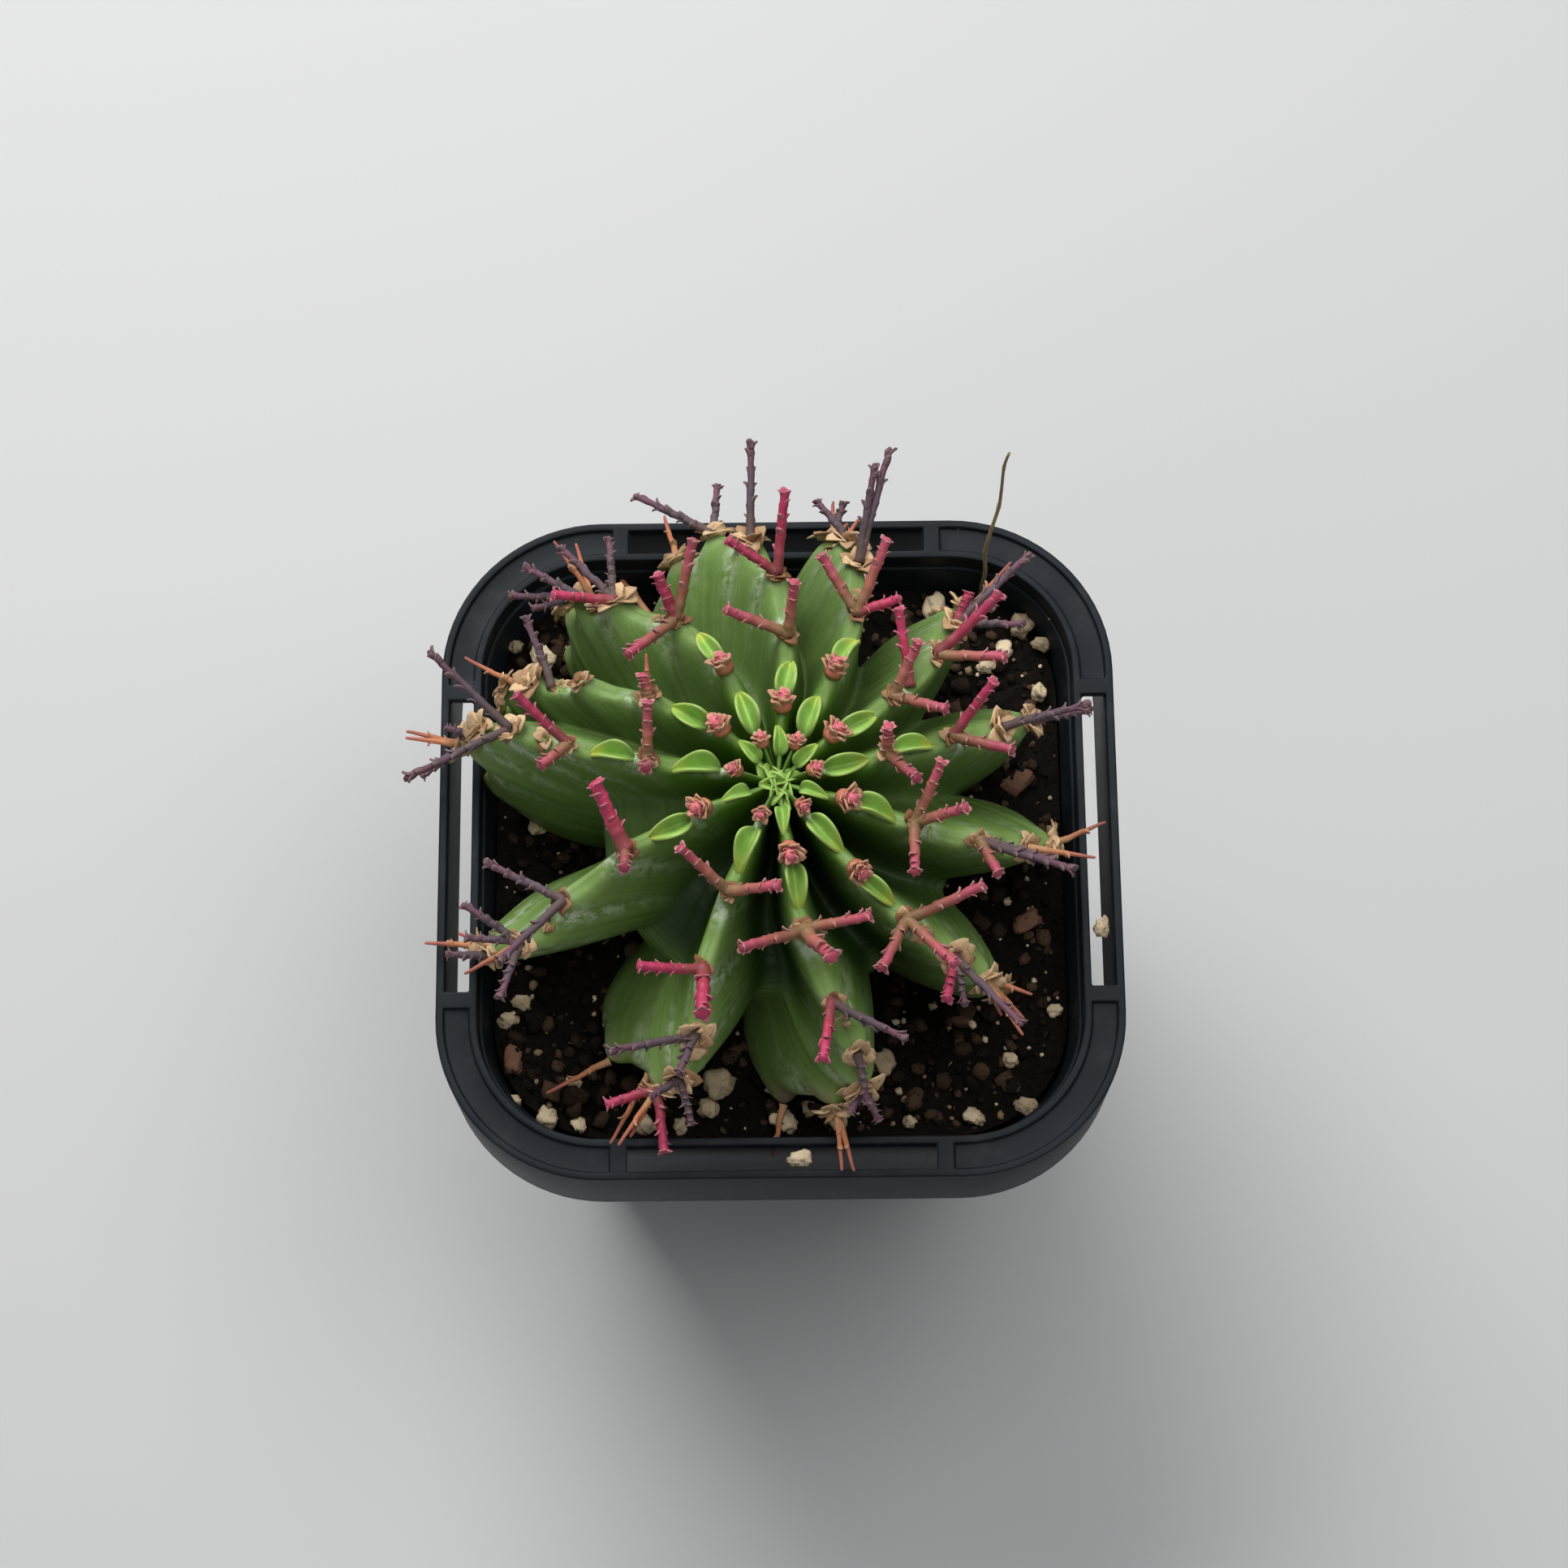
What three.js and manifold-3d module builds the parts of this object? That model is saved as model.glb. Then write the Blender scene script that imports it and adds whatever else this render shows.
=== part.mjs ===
// A squat, twelve-ribbed euphorbia in a square plastic pot.
// Millimetres, +Z up, origin at the centre of the pot's base. -Y is the front.
import * as THREE from "three";
import { mergeVertices } from "three/addons/utils/BufferGeometryUtils.js";
import Module from "manifold-3d";

// ---- Driving dimensions ----
const CLEARANCE = 0.3; // between pieces that touch

const POT_HEIGHT = 85;
const RIM_WIDTH = 90;
const RIM_CORNER_RADIUS = 21.5;
const BASE_WIDTH = 62;
const BASE_CORNER_RADIUS = 12;
const FLANGE_WIDTH = 5.4;
const FLANGE_THICKNESS = 1.6;
const WALL = 1.2;
const FLOOR_THICKNESS = 1.6;
const SKIRT_HEIGHT = 17;
const LIP_WIDTH = 0.9;
const GROOVE_DEPTH = 0.6;
const GROOVE_END_MARGIN = 2.2; // flush stretch between a groove and a slot
const SLOT_LENGTH = 40;
const SLOT_WIDTH = 3.3;
const STEP_DEPTH = 3.5; // from the rim down to the small ledge inside
const STEP_WIDTH = 0.5;
const DRAIN_RADIUS = 3;
const DRAIN_OFFSET = 19;

const SOIL_DROP = 9; // from the rim down to the soil
const SOIL_MOUND = 0.8;
const MOUND_SPREAD = 0.6; // width of the mound's top as a share of the soil's width

const STEM_HEIGHT = 33; // above the soil's edge
const SHOULDER_HEIGHT = 15; // above the soil's edge, where the ribs reach furthest out
const STEM_CENTRE_Y = 1;
const FURROW_REACH = 23; // radius of the furrows at the shoulder
const FURROW_TOP_DROP = 2.6;
const FLANK_RUN = 9.5; // half width of a rib at its root, at the shoulder
const CREST_ROUNDNESS = 0.16;
const FOOT_TUCK = 0.13; // share by which a rib draws in at the soil
const NECK_RADIUS = 9;
const NECK_LENGTH = 8;
const NECK_TAPER = 0.8; // radius at its lower end as a share of the upper

const SPINE_BASE_RADIUS = 0.8;
const SPINE_TIP_RADIUS = 0.55;
const KNOB_RADIUS = 1.7; // of the knob on the crest that a cluster of spines grows from
const KNOB_STANDOFF = 1; // from the crest line out to the knob's centre
const KNOBS_PER_RIB = 3;
const YOUNG_LIFT = 20; // a spine that stands up at least this many degrees is a young one

const LEAF_LENGTH = 6.4;
const LEAF_WIDTH = 3.2;
const LEAF_THICKNESS = 0.6;

const STALK_DIAMETER = 0.7;
const GRAIN_FACET_JITTER = 0.14;
const SLOT_GRAIN_DROP = 3.2; // how far below the rim a grain caught in a slot reaches
const ROUND_SEGMENTS = 20;

// Rib crests, counter-clockwise. Bearings in degrees at five levels from the apex to the soil, and the
// reach in millimetres at the shoulder. "phase" says whether its first cluster is the nearer one.
const RIBS = [
  { name: "a", bearings: [87, 86, 94, 106, 120], reach: 39, phase: 1 },
  { name: "l", bearings: [112, 115, 129, 133, 139], reach: 39.5, phase: 0 },
  { name: "k", bearings: [131, 144, 152, 154, 156], reach: 39, phase: 1 },
  { name: "j", bearings: [169, 168, 164, 165, 169], reach: 41, phase: 0 },
  { name: "i", bearings: [200, 203, 209, 204, 195], reach: 40.5, phase: 1 },
  { name: "h", bearings: [246, 246, 251, 246, 225], reach: 37.5, phase: 0 },
  { name: "g", bearings: [278, 279, 286, 284, 268], reach: 37, phase: 1 },
  { name: "f", bearings: [309, 311, 317, 321, 323], reach: 35, phase: 0 },
  { name: "e", bearings: [343, 343, 348, 355, 361], reach: 34.5, phase: 1 },
  { name: "d", bearings: [373, 376, 378, 382, 387], reach: 34.5, phase: 0 },
  { name: "c", bearings: [402, 398, 405, 410, 416], reach: 36, phase: 1 },
  { name: "b", bearings: [424, 424, 432, 439, 446], reach: 38.5, phase: 0 },
];
const SHOULDER_LEVEL = 0.75;
const FIRST_CLUSTER = [0.055, 0.11]; // level of the innermost cluster, by phase
const CLUSTER_STEP = 0.14;
const LEAF_LEAD = 0.072; // how far above its cluster a leaf sits

// The main spines: rib, cluster along the rib, bearing and lift in degrees, length.
const SPINES = [
  ["a", 1, 163, 25, 9],
  ["a", 2, 83, 28, 11],
  ["a", 3, 90, 12, 13],
  ["b", 2, 63, 30, 10.5],
  ["b", 3, 75, 15, 15.5],
  ["c", 1, 62, 35, 8],
  ["c", 2, 38, 20, 11.5],
  ["c", 3, 44, 10, 13.5],
  ["d", 2, 48, 35, 9.5],
  ["d", 2, 337, 25, 9],
  ["d", 3, 13, 10, 12],
  ["e", 1, 265, 30, 9],
  ["e", 1, 62, 35, 9],
  ["e", 2, 336, 12, 13],
  ["f", 2, 17, 22, 11],
  ["f", 2, 310, 32, 10.5],
  ["f", 3, 308, 14, 13],
  ["g", 1, 204, 25, 9.5],
  ["g", 1, 8, 25, 9.2],
  ["g", 2, 326, 18, 11.5],
  ["g", 2, 260, 30, 10],
  ["h", 1, 143, 35, 8.8],
  ["h", 2, 185, 25, 9],
  ["h", 2, 272, 40, 8.8],
  ["h", 3, 195, 15, 11.5],
  ["i", 2, 156, 20, 11],
  ["i", 2, 230, 18, 12.5],
  ["j", 1, 88, 35, 7.5],
  ["j", 2, 142, 25, 9.5],
  ["j", 3, 139, 12, 14.5],
  ["l", 2, 73, 30, 10.8],
  ["l", 3, 183, 20, 8.5],
];

// Grains and chips lying on the soil: place as shares of the soil's half width, size along X, Y, Z, turn.
const GRAINS = [
  { at: [-0.84, 0.75], size: [4.3, 4.3, 3.6] },
  { at: [0.01, -0.94], size: [4.4, 3.9, 3.6] },
  { at: [0.81, 0.67], size: [3.6, 2.6, 2.4] },
  { at: [0.56, 0.92], size: [4.6, 4, 3.4] },
  { at: [-0.94, -0.52], size: [4.2, 3.8, 3.4] },
  { at: [-0.76, -0.865], size: [4.4, 3.4, 3.2] },
  { at: [0.67, -0.93], size: [3.8, 3.6, 3.2] },
];
const CHIPS = [
  { at: [0.88, 0.24], size: [6.5, 4, 2.2], turn: 65 },
  { at: [0.89, -0.24], size: [5.5, 3.6, 2], turn: 80 },
  { at: [-0.93, -0.73], size: [5, 3.4, 2], turn: 115 },
];
// Grains caught in the slots: the way the slot's side faces, place along the slot, length, height.
const SLOT_GRAINS = [
  { side: [0, -1], along: 2.2, length: 3.9, height: 2.6 },
  { side: [1, 0], along: -12, length: 4.2, height: 2.6 },
];
// The dry stalk's route: X, Y, and height above the soil.
const STALK_ROUTE = [
  [28, 36.8, 0],
  [28.3, 37.6, 7.9],
  [28.6, 40.4, 15.9],
  [29.9, 43.6, 22.9],
  [30.3, 45.6, 30.9],
];

// ---- Colours and finishes ----
const finish = (color, roughness) => new THREE.MeshStandardMaterial({ color, roughness, metalness: 0 });
const POT_PLASTIC = finish(0x14181c, 0.45);
const SOIL_MIX = finish(0x1c1511, 0.95);
const STEM_SKIN = finish(0x3f6a2c, 0.6);
const LEAF_SKIN = finish(0x8fbf4a, 0.5);
const YOUNG_SPINE = finish(0xb33350, 0.6);
const OLD_SPINE = finish(0x4a3844, 0.7);
const PUMICE = finish(0xcdb896, 0.95);
const BARK = finish(0x6a3f2c, 0.9);
const STRAW = finish(0x9a7a4a, 0.8);

const wasm = await Module();
wasm.setup();

// ---- Helpers ----
const radians = THREE.MathUtils.degToRad;
const mix = THREE.MathUtils.lerp;

/** A manifold solid from a closed geometry. */
function solid(geometry) {
  const bare = geometry.clone();
  bare.deleteAttribute("normal");
  bare.deleteAttribute("uv");
  const merged = mergeVertices(bare, 1e-4);
  return new wasm.Manifold(
    new wasm.Mesh({
      numProp: 3,
      vertProperties: merged.attributes.position.array,
      triVerts: new Uint32Array(merged.index.array),
    }),
  );
}

/** The three.js geometry of a manifold solid. */
function geometryOf(body) {
  const mesh = body.getMesh();
  const geometry = new THREE.BufferGeometry();
  geometry.setAttribute("position", new THREE.BufferAttribute(mesh.vertProperties, 3));
  geometry.setIndex(new THREE.BufferAttribute(mesh.triVerts, 1));
  geometry.computeVertexNormals();
  return geometry;
}

/** A rounded square outline, counter-clockwise. */
function roundedSquare(width, radius) {
  const flat = width / 2 - radius;
  const shape = new THREE.Shape();
  shape.absarc(flat, flat, radius, 0, Math.PI / 2);
  shape.absarc(-flat, flat, radius, Math.PI / 2, Math.PI);
  shape.absarc(-flat, -flat, radius, Math.PI, 1.5 * Math.PI);
  shape.absarc(flat, -flat, radius, 1.5 * Math.PI, 2 * Math.PI);
  return shape;
}

/** Skins a stack of equal-length rings, bottom ring first, and closes both ends with a fan. */
function loft(rings) {
  const size = rings[0].length;
  const points = rings.flat();
  const centre = (ring) => ring.reduce((sum, p) => sum.add(p), new THREE.Vector3()).divideScalar(size);
  points.push(centre(rings[0]), centre(rings.at(-1)));
  const index = [];
  for (let j = 0; j + 1 < rings.length; j++) {
    for (let i = 0; i < size; i++) {
      const k = (i + 1) % size;
      const low = j * size;
      const high = low + size;
      index.push(low + i, low + k, high + k, low + i, high + k, high + i);
    }
  }
  const last = (rings.length - 1) * size;
  for (let i = 0; i < size; i++) {
    const k = (i + 1) % size;
    index.push(points.length - 2, k, i, points.length - 1, last + i, last + k);
  }
  const geometry = new THREE.BufferGeometry().setFromPoints(points);
  geometry.setIndex(index);
  geometry.computeVertexNormals();
  return geometry;
}

const CORNER_SEGMENTS = 7;
/** A rounded-square ring of points at a height, for loft. */
function squareRing(width, radius, z) {
  const outline = roundedSquare(width, radius).getPoints(CORNER_SEGMENTS).slice(0, -1);
  return outline.map((p) => new THREE.Vector3(p.x, p.y, z));
}

/** A straight prism on a rounded square. */
function squarePrism(width, radius, bottom, top) {
  return solid(loft([squareRing(width, radius, bottom), squareRing(width, radius, top)]));
}

/** An upright box by its centre line and heights. */
function block(lengthX, lengthY, bottom, top, x, y) {
  const box = new THREE.BoxGeometry(lengthX, lengthY, top - bottom);
  return solid(box.translate(x, y, (top + bottom) / 2));
}

function named(name, geometry, material) {
  const mesh = new THREE.Mesh(geometry, material);
  mesh.name = name;
  return mesh;
}

/** Smooth value at t in 0..1 through evenly spaced keys. */
function along(keys, t) {
  const at = THREE.MathUtils.clamp(t, 0, 1) * (keys.length - 1);
  const i = Math.min(Math.floor(at), keys.length - 2);
  const u = at - i;
  const slope = (k) => (keys[Math.min(k + 1, keys.length - 1)] - keys[Math.max(k - 1, 0)]) / 2;
  const rise = keys[i + 1] - keys[i];
  const a = slope(i) - rise;
  const b = rise - slope(i + 1);
  return mix(keys[i], keys[i + 1], u) + u * (1 - u) * (a * (1 - u) + b * u);
}

// ---- Sizes that follow ----
const INNER_WIDTH = RIM_WIDTH - 2 * FLANGE_WIDTH;
const INNER_CORNER_RADIUS = RIM_CORNER_RADIUS - FLANGE_WIDTH;
const SLOT_CENTRE = (RIM_WIDTH - FLANGE_WIDTH) / 2;
const SOIL_HEIGHT = POT_HEIGHT - SOIL_DROP; // above the pot's base
const SOIL_REST = SOIL_HEIGHT + SOIL_MOUND + CLEARANCE; // where a piece on the soil stands
const STEM_TOP = SOIL_HEIGHT + STEM_HEIGHT;
const STEM_SHOULDER = SOIL_HEIGHT + SHOULDER_HEIGHT;

// ---- Pot ----

/** Width and corner radius of the soil space at a height. */
function hollowAt(z) {
  const share = (z - FLOOR_THICKNESS) / (POT_HEIGHT - STEP_DEPTH - FLOOR_THICKNESS);
  return {
    width: mix(BASE_WIDTH - 2 * WALL, INNER_WIDTH - 2 * STEP_WIDTH, share),
    radius: mix(BASE_CORNER_RADIUS - WALL, INNER_CORNER_RADIUS - STEP_WIDTH, share),
  };
}

function hollowRing(z, inset) {
  const { width, radius } = hollowAt(z);
  return squareRing(width - 2 * inset, radius - inset, z);
}

function makePot() {
  const under = POT_HEIGHT - FLANGE_THICKNESS;
  const over = POT_HEIGHT + 1;
  const body = solid(
    loft([
      squareRing(BASE_WIDTH, BASE_CORNER_RADIUS, 0),
      squareRing(INNER_WIDTH + 2 * WALL, INNER_CORNER_RADIUS + WALL, under + FLANGE_THICKNESS / 2),
    ]),
  );
  const skirtBottom = POT_HEIGHT - SKIRT_HEIGHT;
  const skirt = squarePrism(RIM_WIDTH, RIM_CORNER_RADIUS, skirtBottom, POT_HEIGHT).subtract(
    squarePrism(RIM_WIDTH - 2 * WALL, RIM_CORNER_RADIUS - WALL, skirtBottom - 1, under),
  );
  const ledge = POT_HEIGHT - STEP_DEPTH;
  const hollow = solid(loft([hollowRing(FLOOR_THICKNESS, 0), hollowRing(ledge, 0)])).add(
    squarePrism(INNER_WIDTH, INNER_CORNER_RADIUS, ledge - CLEARANCE, over),
  );
  const grooveFloor = POT_HEIGHT - GROOVE_DEPTH;
  const groove = squarePrism(RIM_WIDTH - 2 * LIP_WIDTH, RIM_CORNER_RADIUS - LIP_WIDTH, grooveFloor, over)
    .subtract(
      squarePrism(INNER_WIDTH + 2 * LIP_WIDTH, INNER_CORNER_RADIUS + LIP_WIDTH, grooveFloor - 1, over + 1),
    );
  const bridge = SLOT_LENGTH + 2 * GROOVE_END_MARGIN;
  const bridges = block(bridge, RIM_WIDTH, grooveFloor - 1, over + 1, 0, 0).add(
    block(RIM_WIDTH, bridge, grooveFloor - 1, over + 1, 0, 0),
  );
  let pot = body.add(skirt).subtract(hollow).subtract(groove.subtract(bridges));
  for (const side of [-1, 1]) {
    pot = pot.subtract(block(SLOT_LENGTH, SLOT_WIDTH, under - 1, over, 0, side * SLOT_CENTRE));
    pot = pot.subtract(block(SLOT_WIDTH, SLOT_LENGTH, under - 1, over, side * SLOT_CENTRE, 0));
  }
  for (const [x, y] of [[1, 1], [-1, 1], [-1, -1], [1, -1]]) {
    const drain = new THREE.CylinderGeometry(
      DRAIN_RADIUS,
      DRAIN_RADIUS,
      3 * FLOOR_THICKNESS,
      ROUND_SEGMENTS,
    );
    drain.rotateX(Math.PI / 2).translate(x * DRAIN_OFFSET, y * DRAIN_OFFSET, FLOOR_THICKNESS / 2);
    pot = pot.subtract(solid(drain));
  }
  return named("pot", geometryOf(pot), POT_PLASTIC);
}

// ---- Soil ----
function makeSoil() {
  const bottom = FLOOR_THICKNESS + CLEARANCE;
  const top = hollowAt(SOIL_HEIGHT);
  const mound = squareRing(top.width * MOUND_SPREAD, top.radius * MOUND_SPREAD, SOIL_HEIGHT + SOIL_MOUND);
  const fill = solid(loft([hollowRing(bottom, CLEARANCE), hollowRing(SOIL_HEIGHT, CLEARANCE), mound]));
  const pocketDepth = NECK_LENGTH + CLEARANCE;
  const pocket = new THREE.CylinderGeometry(
    NECK_RADIUS + CLEARANCE,
    NECK_RADIUS + CLEARANCE,
    2 * pocketDepth,
    ROUND_SEGMENTS,
  );
  pocket.rotateX(Math.PI / 2).translate(0, STEM_CENTRE_Y, SOIL_REST);
  return named("soil", geometryOf(fill.subtract(solid(pocket))), SOIL_MIX);
}

// ---- Stem ----
/** Radius and height of a meridian at a level: 0 at the apex, 1 at the soil. */
function meridian(reach, top, level) {
  if (level <= SHOULDER_LEVEL) {
    const angle = (level / SHOULDER_LEVEL) * (Math.PI / 2);
    const z = STEM_SHOULDER + (top - STEM_SHOULDER) * Math.cos(angle);
    return { r: reach * Math.sin(angle), z };
  }
  const tuck = (level - SHOULDER_LEVEL) / (1 - SHOULDER_LEVEL);
  return { r: reach * (1 - FOOT_TUCK * tuck * tuck), z: mix(STEM_SHOULDER, SOIL_REST, tuck) };
}

/** How far a flank still stands proud at a share of its run: 1 on the crest, 0 in the furrow. */
function flank(share) {
  const round = (x) => Math.hypot(x, CREST_ROUNDNESS) - CREST_ROUNDNESS;
  return 1 - round(Math.min(share, 1)) / round(1);
}

function stemPoint(reach, level, bearing, offset) {
  const crest = meridian(reach, STEM_TOP, level);
  const furrow = meridian(FURROW_REACH, STEM_TOP - FURROW_TOP_DROP, level);
  const run = (FLANK_RUN * crest.r) / reach;
  const share = run > 0 ? (Math.abs(offset) * crest.r) / run : 0;
  const stand = flank(share);
  const r = mix(furrow.r, crest.r, stand);
  const z = mix(furrow.z, crest.z, stand);
  const angle = radians(bearing) + offset;
  return new THREE.Vector3(r * Math.cos(angle), STEM_CENTRE_Y + r * Math.sin(angle), z);
}

const ringLevels = [0.03, 0.07, 0.12, 0.18, 0.25, 0.33, 0.41, 0.49, 0.57, 0.66, 0.75, 0.87, 1];
const flankShares = [0, 0.14, 0.34, 0.64]; // columns from a crest to the furrow's middle

function stemRing(level) {
  const ring = [];
  RIBS.forEach((rib, i) => {
    const next = RIBS[(i + 1) % RIBS.length];
    const last = RIBS.at(i - 1);
    const bearing = along(rib.bearings, level);
    const turn = (other) => THREE.MathUtils.euclideanModulo(along(other.bearings, level) - bearing, 360);
    const ahead = radians(turn(next)) / 2;
    const behind = radians(360 - turn(last)) / 2;
    const push = (share, half, neighbour) => {
      const reach = mix(rib.reach, (rib.reach + neighbour.reach) / 2, Math.abs(share));
      ring.push(stemPoint(reach, level, bearing, share * half));
    };
    flankShares.slice(1).reverse().forEach((share) => push(-share, behind, last));
    flankShares.forEach((share) => push(share, ahead, next));
    push(1, ahead, next);
  });
  return ring;
}

/** The crest's point and outward direction at a level of a rib. */
function crestFrame(rib, level) {
  const point = stemPoint(rib.reach, level, along(rib.bearings, level), 0);
  const step = 0.01;
  const above = stemPoint(rib.reach, level - step, along(rib.bearings, level - step), 0);
  const down = point.clone().sub(above).normalize();
  const radial = new THREE.Vector3(point.x, point.y - STEM_CENTRE_Y, 0).normalize();
  const side = new THREE.Vector3(0, 0, 1).cross(radial);
  const outward = side.cross(down).negate().normalize();
  return { point, outward, down };
}

const clusterLevel = (rib, cluster) => FIRST_CLUSTER[rib.phase] + CLUSTER_STEP * cluster;

/** The centre of the knob that a cluster of spines grows from. */
function knobCentre(rib, cluster) {
  const { point, outward } = crestFrame(rib, clusterLevel(rib, cluster));
  return point.addScaledVector(outward, KNOB_STANDOFF);
}

function makeStem() {
  const rings = ringLevels.map(stemRing).reverse();
  const foot = rings[0];
  const neck = (z, radius) => foot.map((p) => {
    const angle = Math.atan2(p.y - STEM_CENTRE_Y, p.x);
    return new THREE.Vector3(radius * Math.cos(angle), STEM_CENTRE_Y + radius * Math.sin(angle), z);
  });
  const apex = foot.map(() => new THREE.Vector3(0, STEM_CENTRE_Y, STEM_TOP - FURROW_TOP_DROP / 2));
  const under = [neck(SOIL_REST - NECK_LENGTH, NECK_RADIUS * NECK_TAPER), neck(SOIL_REST, NECK_RADIUS)];
  let stem = solid(loft([...under, ...rings, apex]));
  const knob = new THREE.IcosahedronGeometry(KNOB_RADIUS, 1);
  for (const rib of RIBS) {
    for (let cluster = 1; cluster <= KNOBS_PER_RIB; cluster++) {
      stem = stem.add(solid(knob.clone().translate(...knobCentre(rib, cluster))));
    }
  }
  return named("stem", geometryOf(stem), STEM_SKIN);
}

// ---- Spines ----
function makeSpine([ribName, cluster, bearing, lift, length], number) {
  const rib = RIBS.find((each) => each.name === ribName);
  const flat = Math.cos(radians(lift));
  const direction = new THREE.Vector3(
    flat * Math.cos(radians(bearing)),
    flat * Math.sin(radians(bearing)),
    Math.sin(radians(lift)),
  );
  const start = KNOB_RADIUS + CLEARANCE;
  const free = length - start;
  const shaft = new THREE.CylinderGeometry(SPINE_TIP_RADIUS, SPINE_BASE_RADIUS, free, 6);
  shaft.translate(0, start + free / 2, 0);
  const young = lift >= YOUNG_LIFT;
  const spine = named(`spine_${number}`, shaft, young ? YOUNG_SPINE : OLD_SPINE);
  spine.quaternion.setFromUnitVectors(new THREE.Vector3(0, 1, 0), direction);
  spine.position.copy(knobCentre(rib, cluster));
  return spine;
}

// ---- Leaves ----
function makeLeaf(rib) {
  const shape = new THREE.Shape();
  shape.moveTo(-LEAF_LENGTH / 2, 0);
  shape.quadraticCurveTo(-LEAF_LENGTH / 6, -LEAF_WIDTH, LEAF_LENGTH / 2, 0);
  shape.quadraticCurveTo(-LEAF_LENGTH / 6, LEAF_WIDTH, -LEAF_LENGTH / 2, 0);
  const blade = new THREE.ExtrudeGeometry(shape, {
    depth: LEAF_THICKNESS,
    bevelEnabled: false,
    curveSegments: 6,
  });
  const level = clusterLevel(rib, 1) - LEAF_LEAD;
  const { point, outward, down } = crestFrame(rib, level);
  const leaf = named(`leaf_${rib.name}`, blade, LEAF_SKIN);
  const across = outward.clone().cross(down);
  leaf.quaternion.setFromRotationMatrix(new THREE.Matrix4().makeBasis(down, across, outward));
  leaf.position.copy(point).addScaledVector(outward, CLEARANCE);
  return leaf;
}

// ---- Grains, chips and the dry stalk ----
/** An uneven convex lump of a given size, standing on z = 0. */
function lump(size, seed) {
  const bare = new THREE.IcosahedronGeometry(0.5, 0).deleteAttribute("uv").deleteAttribute("normal");
  const ball = mergeVertices(bare);
  const place = ball.attributes.position;
  for (let i = 0; i < place.count; i++) {
    const swell = 1 - GRAIN_FACET_JITTER * (0.5 + 0.5 * Math.sin(5 * i + seed));
    place.setXYZ(i, place.getX(i) * swell, place.getY(i) * swell, place.getZ(i) * swell);
  }
  ball.scale(...size);
  ball.computeBoundingBox();
  return ball.translate(0, 0, -ball.boundingBox.min.z);
}

/** A lump that lies on the soil, placed by shares of the soil's half width. */
function makeLying(name, { at, size, turn = 0 }, seed, material) {
  const half = hollowAt(SOIL_HEIGHT).width / 2 - CLEARANCE;
  const piece = named(name, lump(size, seed), material);
  piece.rotation.z = radians(turn);
  piece.position.set(at[0] * half, at[1] * half, SOIL_REST);
  return piece;
}

function makeSlotGrain({ side: [x, y], along: place, length, height }, number) {
  const grain = named(`grain_${number}`, lump([length, SLOT_WIDTH - 2 * CLEARANCE, height], number), PUMICE);
  grain.rotation.z = Math.atan2(y, x) + Math.PI / 2;
  grain.position.set(
    x * SLOT_CENTRE - y * place,
    y * SLOT_CENTRE + x * place,
    POT_HEIGHT - SLOT_GRAIN_DROP,
  );
  return grain;
}

function makeStalk() {
  const points = STALK_ROUTE.map(([x, y, z]) => new THREE.Vector3(x, y, SOIL_REST + z));
  const route = new THREE.CatmullRomCurve3(points);
  const section = new THREE.Shape().absarc(0, 0, STALK_DIAMETER / 2, 0, 2 * Math.PI);
  const stalk = new THREE.ExtrudeGeometry(section, {
    extrudePath: route,
    steps: 12,
    curveSegments: 3,
    bevelEnabled: false,
  });
  return named("dry_stalk", stalk, STRAW);
}

const count = (i) => String(i + 1).padStart(2, "0");
const plant = new THREE.Group();
plant.add(makeStem());
RIBS.forEach((rib) => plant.add(makeLeaf(rib)));
SPINES.forEach((spine, i) => plant.add(makeSpine(spine, count(i))));

const pottedEuphorbia = new THREE.Group();
pottedEuphorbia.add(makePot(), makeSoil(), plant, makeStalk());
GRAINS.forEach((grain, i) => pottedEuphorbia.add(makeLying(`grain_${i + 1}`, grain, i + 1, PUMICE)));
CHIPS.forEach((chip, i) => pottedEuphorbia.add(makeLying(`bark_chip_${i + 1}`, chip, i + 4, BARK)));
SLOT_GRAINS.forEach((grain, i) => pottedEuphorbia.add(makeSlotGrain(grain, GRAINS.length + i + 1)));

export default pottedEuphorbia;
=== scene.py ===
"""A twelve-ribbed euphorbia in a square plastic pot: the visual model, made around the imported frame.

Metres, +Z up, the pot's base at the origin, -Y to the front.
"""

from __future__ import annotations

import logging
import math
import random
from dataclasses import dataclass, field
from enum import Enum
from itertools import pairwise
from typing import Callable, Sequence

import bmesh
import bpy
import numpy as np
from bpy.types import Material, NodeSocket, NodeTree, Object
from mathutils import Matrix, Vector, noise


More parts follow.
